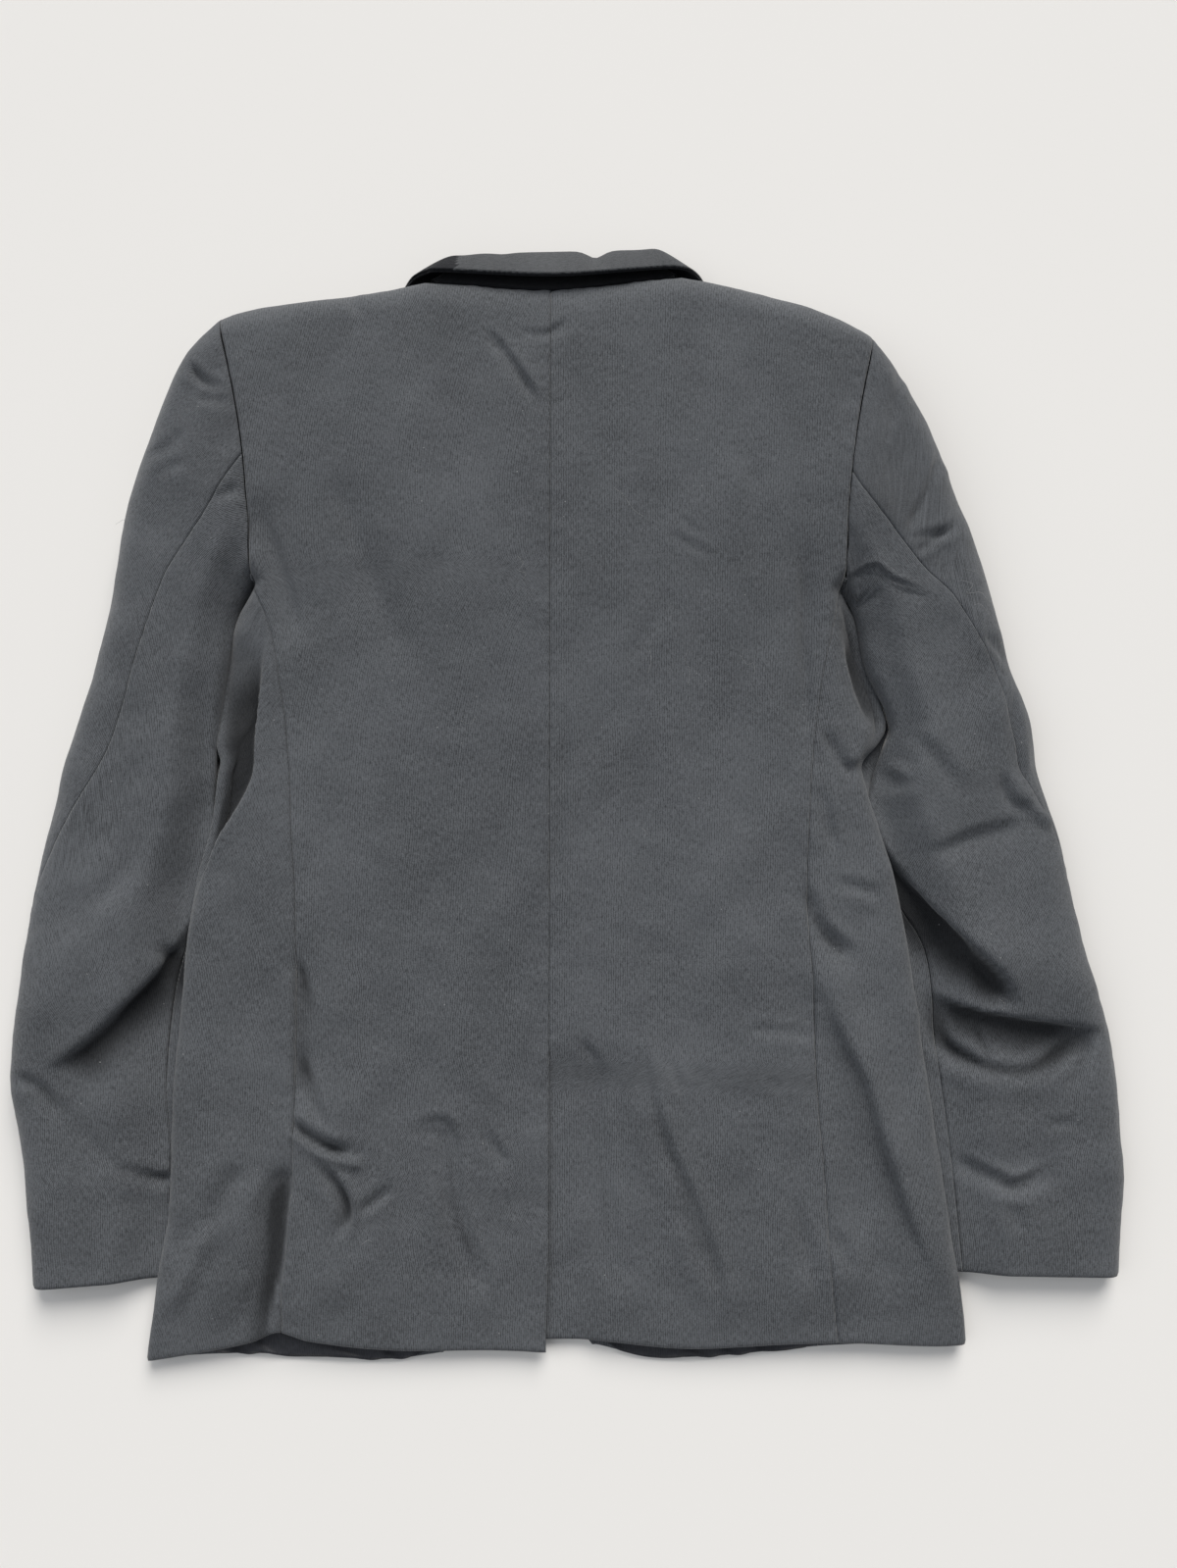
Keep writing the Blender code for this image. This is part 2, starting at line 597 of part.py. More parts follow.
def front_panel(side):
    """A front, under the back: from its edge or roll line out to the side and armhole."""
    hole = ARMHOLES[side]

    def hem(x):
        return read(FRONT_HEM[side], "y", x)

    def top(x):
        return front_top(side, "y", x)

    def outer_rail(y):
        gap = SEAM_GAP / 2.0 if y < hole.front_join - 30.0 else ARMHOLE_GAP / 2.0
        return front_rail(side, y) - OUTWARD[side] * gap

    def face(across, along):
        if side == "right":
            across = 1.0 - across
        share = panel_share(along, front_rail(side, hole.front_join), hole.front_join, hem, top)
        x, y = settle(share, lambda y: lerp(read(FRONT_EDGE, side, y), outer_rail(y), across),
                      hem, top)
        return x, y, bottom_height(side, x, y)

    return cloth("front_" + side, (FRONT_ACROSS, LOWER_ROWS + UPPER_ROWS), face, WALL,
                 CHARCOAL, 0.85, "seams")


def sleeve_plan(side, angle, along):
    """A sleeve point seen from above, and the ring's width: the angle is in radians."""
    rings = SLEEVES[side]
    hole = ARMHOLES[side]
    across = (1.0 - math.cos(angle)) / 2.0
    bow = hole.back_bow if math.sin(angle) >= 0.0 else hole.front_bow
    outer = read(rings, "outer_x", along), read(rings, "outer_y", along)
    inner = read(rings, "inner_x", along), read(rings, "inner_y", along)
    hold = max(read(rings, "armhole", along), 0.0)
    x = lerp(outer[0], inner[0], across) + bow * math.sin(math.pi * across) * hold
    y = lerp(outer[1], inner[1], across)
    return x, y, math.dist(outer, inner)


def sleeve_form(side, angle, along):
    """The height of a sleeve's own flattened ring at an angle."""
    rings = SLEEVES[side]
    x, y, width = sleeve_plan(side, angle, along)
    across = (1.0 - math.cos(angle)) / 2.0
    inner_height = read(rings, "inner_height", along)
    inner_level = min(10.0, inner_height / 2.0)
    level = lerp(read(rings, "fold_level", along), inner_level, across)
    if math.sin(angle) < 0.0:
        reach = 1.3 * level
        return level * (1.0 - rounding(across * width, reach)
                        * rounding((1.0 - across) * width, reach))
    inner_x, inner_y = read(rings, "inner_x", along), read(rings, "inner_y", along)
    outer_x = read(rings, "outer_x", along)
    covered = (edge_x(side, inner_y) - outer_x) / (inner_x - outer_x)
    covered = min(covered, 1.0)
    plateau = lerp(read(rings, "height", along), inner_height,
                   smooth((across - covered + 0.36) / 0.28))
    fold_fade = 1.0 - smooth((across - covered + 0.12) / 0.10)
    plateau += fold_height(SLEEVE_FOLDS[side], x, y) * fold_fade
    rise = plateau - level
    return level + rise * (rounding(across * width, min(1.3 * rise, 24.0))
                           * rounding((1.0 - across) * width, min(1.3 * rise, 24.0)))


def sleeve_point(side, turn, along):
    """A sleeve point: its own form, drawn to the body's armhole over the first rings."""
    angle = math.radians(turn) % math.tau
    x, y, _ = sleeve_plan(side, angle, along)
    height = sleeve_form(side, angle, along)
    hold = max(read(SLEEVES[side], "armhole", along), 0.0)
    if hold > 0.0:
        hole_x, hole_y, _ = sleeve_plan(side, angle, 0.0)
        body = back_height if math.sin(angle) >= 0.0 else bottom_height
        height += (body(side, hole_x, hole_y) - sleeve_form(side, angle, 0.0)) * hold ** 2
    return x + OUTWARD[side] * ARMHOLE_GAP / 2.0, y, height


def sleeve(side):
    """A two-piece sleeve: the top sleeve round both folds, the under sleeve between seams."""
    rings = SLEEVES[side]

    def seam_turn(column, along, direction):
        turn = read(rings, column, along)
        return turn + direction * (0.35 + 0.9 * abs(math.cos(math.radians(turn))))

    def face_between(start, start_way, end, end_way, whole_turns):
        def face(across, along):
            if side == "left":
                across = 1.0 - across
            key = rings[-1].along * along ** 1.15
            turn = lerp(seam_turn(start, key, start_way),
                        seam_turn(end, key, end_way) + 360.0 * whole_turns, across)
            return sleeve_point(side, turn, key)
        return face

    cloth("under_sleeve_" + side, (UNDER_SLEEVE_ACROSS, SLEEVE_ROWS),
          face_between("hind_seam", 1.0, "fore_seam", -1.0, 0), WALL, CHARCOAL, 0.85, "start")
    cloth("top_sleeve_" + side, (TOP_SLEEVE_ACROSS, SLEEVE_ROWS),
          face_between("fore_seam", 1.0, "hind_seam", -1.0, 1), WALL, CHARCOAL, 0.85, "start")


def collar_point(across, along):
    """The middle of the collar's two layers: neck seam, fold, then the fall's free edge."""
    key = along * COLLAR[-1].along

    def corner(name):
        return Vector([read(COLLAR, name + axis, key) for axis in ("_x", "_y", "_z")])

    neck, fold, edge = corner("neck"), corner("fold"), corner("edge")
    turn = 2.0 * across - 1.0
    turn *= abs(turn) ** 0.4
    reach = math.hypot(turn, COLLAR_FOLD_SOFTNESS)
    opening = ((edge - fold).normalized() - (neck - fold).normalized()).normalized()
    opening *= COLLAR_FOLD_RADIUS * (1.0 - turn * turn)
    return (fold + (neck - fold) * ((reach - turn) / 2.0) + (edge - fold) * ((reach + turn) / 2.0)
            + opening * (turn / reach))


def collar():
    """The felt under collar inside the fold, and the upper collar round it."""
    def offset(amount):
        def face(across, along):
            outward = facing(collar_point, COLLAR_GRID, across, along)
            return collar_point(across, along) + outward * amount
        return face

    near, far = LAYER_GAP / 2.0, LAYER_GAP / 2.0 + COLLAR_WALL
    cloth("upper_collar", COLLAR_GRID, offset(far), COLLAR_WALL, CHARCOAL, 0.8,
          inner_face=offset(near))
    cloth("under_collar", COLLAR_GRID, offset(-near), COLLAR_WALL, FELT, 0.95,
          inner_face=offset(-far))


def lapel(side):
    """A lapel, folded out along the roll line and flat on the surface under the front."""
    rows = LAPELS[side]

    def face(across, along):
        if side == "right":
            across = 1.0 - across
        y = lerp(rows[0].y, rows[-1].y, along)
        return lerp(read(rows, "roll", y), read(rows, "outer", y), across), y, 0.0

    return cloth("lapel_" + side, LAPEL_GRID, face, WALL, CHARCOAL, 0.85)


def lining(side):
    """The strip of lining inside a front's hem."""
    start, end = LININGS[side]

    def face(across, along):
        x = lerp(start, end, across)
        hem_y = read(FRONT_HEM[side], "y", x) + 1.5
        return x, hem_y + LINING_HEIGHT * along, WALL + LAYER_GAP + LINING_WALL

    return cloth("lining_" + side, LINING_GRID, face, LINING_WALL, SATIN, 0.5)


def button(name, y):
    """A front button: a disc with a chamfered rim, closed under the left front."""
    shape = bmesh.new()
    bmesh.ops.create_cone(shape, cap_ends=True, segments=20, radius1=BUTTON_RADIUS * MM,
                          radius2=BUTTON_RADIUS * MM, depth=BUTTON_THICKNESS * MM)
    rim = [edge for edge in shape.edges if len({round(v.co.z, 5) for v in edge.verts}) == 1]
    bmesh.ops.bevel(shape, geom=rim, offset=0.7 * MM, segments=1, profile=0.5,
                    affect="EDGES", material=-1)
    piece = finish(name, shape, HORN, 0.35)
    piece.location = Vector((BUTTON_X, y, BUTTON_THICKNESS / 2.0)) * MM
    return piece


def build():
    """Model the whole blazer."""
    for item in list(bpy.data.objects):
        bpy.data.objects.remove(item, do_unlink=True)
    garment = bpy.data.objects.new("blazer", None)
    bpy.context.scene.collection.objects.link(garment)
    garment.location = Vector((-MIDDLE[0], -MIDDLE[1], 0.0)) * MM
    for side in ("left", "right"):
        back_panel(side)
        side_panel(side)
        front_panel(side)
        lapel(side)
        lining(side)
        sleeve(side)
    collar()
    for name, y in BUTTON_HEIGHTS.items():
        button(name, y)


build()
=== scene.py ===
# A blazer lying face down on a pale floor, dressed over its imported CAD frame.
# The tables are in millimetres and the meshes in metres; left and right are seen from above.
import math

import bmesh
import bpy
import numpy as np
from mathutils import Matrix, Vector


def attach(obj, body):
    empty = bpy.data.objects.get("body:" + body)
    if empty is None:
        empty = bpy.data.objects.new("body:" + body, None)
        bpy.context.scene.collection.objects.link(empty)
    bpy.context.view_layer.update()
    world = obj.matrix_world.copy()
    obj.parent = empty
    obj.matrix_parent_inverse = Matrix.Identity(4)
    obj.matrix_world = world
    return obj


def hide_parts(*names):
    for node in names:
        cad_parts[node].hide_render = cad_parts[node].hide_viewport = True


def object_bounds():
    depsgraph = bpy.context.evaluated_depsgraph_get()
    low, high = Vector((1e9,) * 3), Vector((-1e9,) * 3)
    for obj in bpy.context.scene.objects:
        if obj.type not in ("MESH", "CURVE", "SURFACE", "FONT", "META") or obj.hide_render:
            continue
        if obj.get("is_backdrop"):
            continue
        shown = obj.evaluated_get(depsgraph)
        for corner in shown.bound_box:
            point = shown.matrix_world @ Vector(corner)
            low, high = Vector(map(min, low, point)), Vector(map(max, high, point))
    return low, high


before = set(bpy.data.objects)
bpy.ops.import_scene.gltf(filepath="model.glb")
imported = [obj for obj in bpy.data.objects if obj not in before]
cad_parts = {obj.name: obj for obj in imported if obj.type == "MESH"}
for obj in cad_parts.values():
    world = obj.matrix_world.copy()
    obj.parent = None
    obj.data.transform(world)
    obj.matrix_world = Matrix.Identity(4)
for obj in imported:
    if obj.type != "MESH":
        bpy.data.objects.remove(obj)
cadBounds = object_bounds()
mm = 0.001
tableMiddle = (0.33, -1.08)  # what the tables call the middle of the outline
outward = {"left": -1.0, "right": 1.0}


def lerp(start, end, share):
    return start + (end - start) * share


def smooth(share):
    # eases in and out between 0 and 1
    share = np.clip(share, 0.0, 1.0)
    return share * share * (3.0 - 2.0 * share)


def rounding(distance, reach):
    share = np.clip(distance / reach, 0.0, 1.0)
    return np.sqrt(1.0 - (1.0 - share) ** 2)


def table(columns, *rows):
    # named columns of numbers, the first of which rises
    return dict(zip(columns.split(), np.array(rows, float).T))


def readCurve(curves, column, key):
    # a smooth curve through one column, read at a place in the first
    keys, values = next(iter(curves.values())), curves[column]
    last = len(keys) - 1
    before = np.maximum(np.arange(last + 1) - 1, 0)
    after = np.minimum(np.arange(last + 1) + 1, last)
    slope = (values[after] - values[before]) / (keys[after] - keys[before])
    key = np.clip(key, keys[0], keys[-1])
    row = np.clip(np.searchsorted(keys, key, side="left") - 1, 0, last - 1)
    span = keys[row + 1] - keys[row]
    share = (key - keys[row]) / span
    rest = 1.0 - share
    return (values[row] * (1.0 + 2.0 * share) * rest * rest
            + slope[row] * span * share * rest * rest
            + values[row + 1] * (3.0 - 2.0 * share) * share * share
            - slope[row + 1] * span * share * share * rest)


def foldHeight(folds, x, y):
    # broad soft folds and troughs, each along a straight line
    total = 0.0
    for xFrom, yFrom, xTo, yTo, halfWidth, height in folds:
        runX, runY = xTo - xFrom, yTo - yFrom
        length = math.hypot(runX, runY)
        along = ((x - xFrom) * runX + (y - yFrom) * runY) / length
        aside = ((x - xFrom) * runY - (y - yFrom) * runX) / length
        ends = smooth((along + halfWidth) / (2.0 * halfWidth))
        ends = ends * smooth((length + halfWidth - along) / (2.0 * halfWidth))
        total = total + height * ends * np.exp(-(aside / halfWidth) ** 2)
    return total


# the body lies as the solids do, apart from its side folds
body = table(
    "y frontSeamLeft edgeLeft seamLeft seamRight edgeRight frontSeamRight middleHeight "
    "seamHeight edgeHeight edgeRound tuckLift",
    (-378, -172, -271, -184, 179, 262, 166, 9.5, 10.5, 5.5, 6, 1),
    (-350, -172, -267, -182, 176, 260, 166, 10.5, 14, 8.5, 6, 5),
    (-336, -172, -265.5, -182, 174.5, 258, 165, 11, 16.5, 10.5, 11, 9.5),
    (-322, -172, -264, -182, 173, 256, 164, 11.5, 18, 10.8, 11, 9.3),
    (-278, -171, -258, -178, 171, 250, 162, 13, 18.5, 10.8, 11, 9.3),
    (-216, -170, -258, -176, 167, 242, 160, 14.5, 20, 10.8, 11, 9.3),
    (-140, -170, -254, -176, 164, 233, 158, 16, 21, 10.8, 11, 9.3),
    (-71, -172, -248, -179, 161.5, 223, 156, 18, 22, 10.8, 11, 9.3),
    (-35, -174, -240, -182, 163, 213, 158, 19.5, 23, 10.8, 11, 9.3),
    (5, -176, -235, -184, 165.5, 202, 160, 21.5, 24, 11, 10, 7),
    (14, -177, -234, -185, 166.5, 203, 161, 22, 24.3, 9.5, 12, 3),
    (26, -178, -238, -186, 167.5, 213.5, 162, 23, 24.5, 7, 18, 0),
    (37, -180, -237.5, -187, 169, 219.5, 163, 23.7, 24.8, 5.5, 22, 0),
    (50, -181, -236.5, -189, 171, 218, 165, 24.5, 25.2, 5, 26, 0),
    (80, -184, -233, -194, 176, 207.5, 168, 27, 26.5, 5, 28, 0),
    (112, -190, -226, -201, 184, 199.5, 173, 30, 28.5, 7, 24, 0),
    (136, -196, -213, -209.5, 189, 190, 177, 32, 31, 10, 14, 0),
    (200, -204, -213, -209.5, 193, 190, 184, 35, 37, 10, 14, 0),
    (290, -204, -213, -209.5, 193, 190, 184, 36, 41, 10, 14, 0),
    (360, -204, -213, -209.5, 193, 190, 184, 34, 42, 10, 14, 0),
)
body.update(
    wall=1.3, backWall=1.5, layerGap=0.5, solidWall=2.0, seamGap=0.16, shoulderGap=0.3,
    armholeGap=0.7, armpitRound=18.0, shoulderRound=26.0, tuckSlope=24.0, ventTop=-183.0,
    ventRamp=24.0, underlap=38.0, ventStep=2.9,
    folds=[  # xFrom, yFrom, xTo, yTo, half width, height
        (162, 160, 164, 40, 13, -3.5), (200, 98, 208, 44, 12, -5),
        (170, -120, 246, -325, 14, 4.5), (154, -140, 212, -330, 15, -3.5),
        (50, -165, 101, -345, 14, 3), (22, -190, 36, -330, 14, -2.5),
        (-206, 187, -180, 98, 14, -3), (-153, 201, -110, 84, 17, -3),
        (-186, -262, -192, -345, 12, -3.5), (-76, -227, -60, -330, 14, -2.5),
        (-225, 92, -228, 40, 12, -6),
    ],
)
# each armhole bows between its ends, and the side panel's two seams join it above the armpit
armholes = {
    "left": {"shoulder": (-239.5, 324), "armpit": (-213, 136), "backBow": 7, "frontBow": 24,
             "backJoin": 141.5, "frontJoin": 146},
    "right": {"shoulder": (213, 310), "armpit": (190, 131), "backBow": -6, "frontBow": -24,
              "backJoin": 138, "frontJoin": 142},
}
backTop = table(
    "x y height", (-240, 324, 13), (-224, 330, 13), (-190, 336.5, 13), (-155, 341, 13),
    (-121, 347, 13), (-99, 352, 13), (-94, 351.6, 13.4), (-66, 348.5, 19), (-39, 344, 23),
    (-10, 343, 24), (20, 346, 23), (50, 351, 20), (77, 355.6, 13.4), (82, 356, 13),
    (105, 351, 13), (140, 342, 13), (174, 331, 13), (194, 323, 13), (213, 310, 13))
neckPoints = {"left": -99.0, "right": 82.0}
neckline = {
    "left": table("x y height", (-99, 352, 13), (-93, 330, 8), (-72, 288, 6)),
    "right": table("x y height", (56, 288, 6), (77, 330, 8), (82, 356, 13)),
}
backHem = {
    "left": table("x y", (-271, -377), (-222, -369), (-200, -364), (-185, -358), (-165, -364),
                  (-110, -370), (-48, -370), (-10, -371.5)),
    "right": table("x y", (-50, -365), (16, -364), (80, -369), (143, -366), (180, -365),
                   (240, -367), (262, -366)),
}
frontHem = {
    "left": table("x y", (-271, -377), (-220, -374), (-172, -376), (-115, -378), (-80, -374)),
    "right": table("x y", (22, -369), (54, -376), (93, -376.5), (144, -372), (166, -370),
                   (262, -366)),
}
frontEdge = table(
    "y left right", (-378, -84, 26), (-350, -52, 4), (-300, -16, -16), (-250, 2, -24),
    (-200, 9, -30), (-100, 12, -33), (-60, 10, -31), (0, -3, -19), (100, -24, 4),
    (200, -46, 27), (297, -70, 54), (360, -80, 66))
lapels = {
    "left": table("y roll outer", (46, -14, -19), (100, -25, -72), (200, -48, -118),
                  (258, -62, -134)),
    "right": table("y roll outer", (46, -7, -1), (100, 5, 52), (200, 29, 98), (258, 43, 116)),
}
buttons = {"x": -10.0, "ys": (-60.0, -165.0), "radius": 10.5, "thickness": 3.4, "spread": 22.0,
           "slope": 20.0}
# the fronts rise over what lies under them: how far beyond it, and over what slope
frontLay = {"lapelSide": (42.0, 24.0), "lapelFoot": (44.0, 30.0), "overlapSide": (44.0, 28.0),
            "overlapTop": (90.0, 40.0), "neck": (232.0, 26.0), "neckHeight": 6.0}
cuts = {"back": {"hem": backHem, "seam": "seam", "run": 50.0},
        "front": {"hem": frontHem, "seam": "frontSeam", "run": 70.0}}


def armholeX(side, y, bow):
    hole = armholes[side]
    share = (hole["shoulder"][1] - y) / (hole["shoulder"][1] - hole["armpit"][1])
    share = np.clip(share, 0.0, 1.0)
    return lerp(hole["shoulder"][0], hole["armpit"][0], share) + bow * np.sin(math.pi * share)


def sideSeamX(side, layer, y):
    # up the side seam and on along the armhole
    hole, cut = armholes[side], cuts[layer]
    column, joinY, bow = cut["seam"] + side.title(), hole[layer + "Join"], hole[layer + "Bow"]
    drift = armholeX(side, joinY, bow) - readCurve(body, column, joinY)
    below = readCurve(body, column, y) + drift * smooth((y - joinY + cut["run"]) / cut["run"])
    return np.where(y >= joinY, armholeX(side, y, bow), below)


def centreX(y):
    return -10.0 - 1.5 * smooth((-y - 300.0) / 70.0)


def sleeveInnerX(side, y):
    rings = sleeves[side]
    return np.interp(y, *zip(*sorted(zip(rings["innerY"], rings["innerX"]))))


def edgeX(side, y):
    hole = armholes[side]
    column = "edge" + side.title()
    drift = hole["armpit"][0] - readCurve(body, column, hole["armpit"][1])
    return (readCurve(body, column, np.minimum(y, hole["armpit"][1]))
            + drift * smooth((y - hole["armpit"][1] + 20.0) / 20.0))


def edgeRounding(side, x, y):
    reach = readCurve(body, "edgeRound", y)
    above = np.maximum(0.0, y - armholes[side]["armpit"][1])
    inward = np.maximum(0.0, outward[side] * (edgeX(side, y) - x))
    return rounding(inward / reach + above / body["armpitRound"], 1.0)


def backHeight(side, x, y):
    across = (x - centreX(y)) / (sideSeamX(side, "back", y) - centreX(y))
    height = lerp(readCurve(body, "middleHeight", y), readCurve(body, "seamHeight", y),
                  smooth(across))
    height = height + foldHeight(body["folds"], x, y)
    height = lerp(readCurve(body, "edgeHeight", y), height, edgeRounding(side, x, y))
    return lerp(readCurve(backTop, "height", x) + body["shoulderGap"], height,
                rounding(readCurve(backTop, "y", x) - y, body["shoulderRound"]))


def frontTop(side, column, x):
    onShoulder = outward[side] * (x - neckPoints[side]) > 0.0
    return np.where(onShoulder, readCurve(backTop, column, x),
                    readCurve(neckline[side], column, x))


def beyond(distance, reach, slope):
    return smooth((distance + reach) / slope)


def overLapel(side, x, y):
    foot, top = lapels[side]["y"][[0, -1]]
    reach = outward[side] * (readCurve(lapels[side], "outer", np.minimum(y, top)) - x)
    return beyond(reach, *frontLay["lapelSide"]) * beyond(y - foot, *frontLay["lapelFoot"])


def leftFrontHeight(x, y):
    height = (body["solidWall"] + body["layerGap"]) * overLapel("left", x, y)
    for buttonY in buttons["ys"]:
        away = np.hypot(x - buttons["x"], y - buttonY) - buttons["radius"]
        lift = 1.0 - smooth((away - buttons["spread"]) / buttons["slope"])
        height = np.maximum(height, (buttons["thickness"] + body["layerGap"]) * lift)
    return height


def frontHeight(side, x, y):
    if side == "left":
        height = leftFrontHeight(x, y)
    else:
        height = (body["solidWall"] + body["layerGap"]) * overLapel(side, x, y)
        (reach, slope), (top, topSlope) = frontLay["overlapSide"], frontLay["overlapTop"]
        overlap = smooth((readCurve(frontEdge, "left", y) + reach - x) / slope)
        overlap = overlap * smooth((top - y) / topSlope)
        under = leftFrontHeight(np.minimum(x, 10.0), y)
        height = np.maximum(height, (under + body["solidWall"] + 3.0 * body["layerGap"]) * overlap)
    neckY, neckSlope = frontLay["neck"]
    neck = smooth((y - neckY) / neckSlope) * overLapel(side, x, lapels[side]["y"][-1])
    return np.maximum(height, frontLay["neckHeight"] * neck)


def bottomHeight(side, x, y):
    inward = outward[side] * (edgeX(side, y) - x)
    tuck = np.maximum(0.0, outward[side] * (edgeX(side, y) - sleeveInnerX(side, y)))
    lift = readCurve(body, "tuckLift", y) * (
        1.0 - smooth((inward - tuck - 4.0) / body["tuckSlope"]))
    height = np.maximum(frontHeight(side, x, y), lift)
    height = lerp(readCurve(body, "edgeHeight", y), height, edgeRounding(side, x, y))
    return lerp(frontTop(side, "height", x) - body["shoulderGap"], height,
                rounding(frontTop(side, "y", x) - y, body["shoulderRound"]))


def ventDrop(x, y):
    down = smooth((body["ventTop"] + 0.5 * body["ventRamp"] - y) / body["ventRamp"])
    return body["ventStep"] * down * (1.0 - smooth((x - centreX(y) - 20.0) / 22.0))


def hemY(side, layer, x):
    return readCurve(cuts[layer]["hem"][side], "y", x)


def topY(side, layer, x):
    return readCurve(backTop, "y", x) if layer == "back" else frontTop(side, "y", x)


def settle(side, layer, share, xAt, top=None):
    # a point some share of the way from hem to top, on a line whose x changes as it rises
    y = lerp(-370.0, 340.0, share)
    for _ in range(7):
        x = xAt(y)
        y = lerp(hemY(side, layer, x), topY(side, layer, x) if top is None else top, share)
    return x, y


sidePanel = {
    "topRow": 22 / 34,  # how far up the back's and front's rows their side seam ends
    "foldAt": 7 / 13,  # how far across the side fold lies
    "crowding": 1.7,
    "underReach": {"left": (4.0, 118.0), "right": (-36.0, 80.0)},  # the under layer shows here
    "underPress": 0.88,
}


def panelShare(side, layer, along):
    joinY, topRow = armholes[side][layer + "Join"], sidePanel["topRow"]
    joinX = sideSeamX(side, layer, joinY)
    hem = hemY(side, layer, joinX)
    join = (joinY - hem) / (topY(side, layer, joinX) - hem)
    upper = np.clip((along - topRow) / (1.0 - topRow), 0.0, 1.0)
    return np.where(along <= topRow, join * along / topRow,
                    lerp(join, 1.0, 1.0 - (1.0 - upper) ** 1.35))


def panelFace(side, layer):
    # half of the back from the centre seam, or a front from its buttoned edge
    joinY = armholes[side][layer + "Join"]

    def innerX(y):
        if layer == "front":
            return readCurve(frontEdge, side, y)
        x = centreX(y) + outward[side] * body["seamGap"] / 2.0
        if side == "right":
            x = x - body["underlap"] * smooth((body["ventTop"] - y) / body["ventRamp"])
        return x

    def outerX(y):
        gap = np.where(y < joinY - 30.0, body["seamGap"], body["armholeGap"]) / 2.0
        return sideSeamX(side, layer, y) - outward[side] * gap

    def face(across, along):
        across = 1.0 - across if (side == "left") == (layer == "back") else across
        x, y = settle(side, layer, panelShare(side, layer, along),
                      lambda y: lerp(innerX(y), outerX(y), across))
        if layer == "front":
            return x, y, bottomHeight(side, x, y)
        return x, y, backHeight(side, x, y) - (ventDrop(x, y) if side == "right" else 0.0)

    return face


def sidePanelFace(side):
    hole, foldAt = armholes[side], sidePanel["foldAt"]

    def half(layer, turn, along):
        bow, joinY, armpitY = hole[layer + "Bow"], hole[layer + "Join"], hole["armpit"][1]
        seam = settle(side, layer, panelShare(side, layer, along * sidePanel["topRow"]),
                      lambda y: sideSeamX(side, layer, y) + outward[side] * body["seamGap"] / 2.0)
        edge = settle(side, layer, along, lambda y: edgeX(side, y),
                      armpitY - 0.3 * body["armholeGap"])
        share = np.abs(turn) ** sidePanel["crowding"]
        x, y = lerp(edge[0], seam[0], share), lerp(edge[1], seam[1], share)
        straight = lerp(hemY(side, layer, edge[0]), hemY(side, layer, seam[0]), share)
        y = y + (hemY(side, layer, x) - straight) * (1.0 - along) ** 3
        topX = lerp(edgeX(side, armpitY), armholeX(side, joinY, bow), share)
        curveX = armholeX(side, lerp(armpitY, joinY, share), bow)
        curveX = curveX - outward[side] * body["armholeGap"] / 2.0
        x = x + (curveX - topX) * along ** 8
        if layer == "back":
            return x, y, backHeight(side, x, y)
        height = bottomHeight(side, x, y)
        # the under layer spreads below the sleeve where the side fold pulls away from it
        low, high = sidePanel["underReach"][side]
        shown = smooth((y - low) / 12.0) * smooth((high - y) / 12.0)
        room = np.maximum(0.0, outward[side] * (sleeveInnerX(side, y) - edgeX(side, y)) + 5.0)
        spread = smooth(share / 0.05) * (1.0 - smooth((share - 0.08) / 0.3)) * shown
        return (x + outward[side] * room * spread, y,
                height * (1.0 - sidePanel["underPress"] * spread))

    def face(across, along):
        fromFold = foldAt - (1.0 - across if side == "left" else across)
        turn = fromFold / np.where(fromFold > -0.0001, foldAt, 1.0 - foldAt)
        halves = zip(half("back", turn, along), half("front", turn, along))
        return tuple(np.where(turn > -0.0001, upper, lower) for upper, lower in halves)

    return face


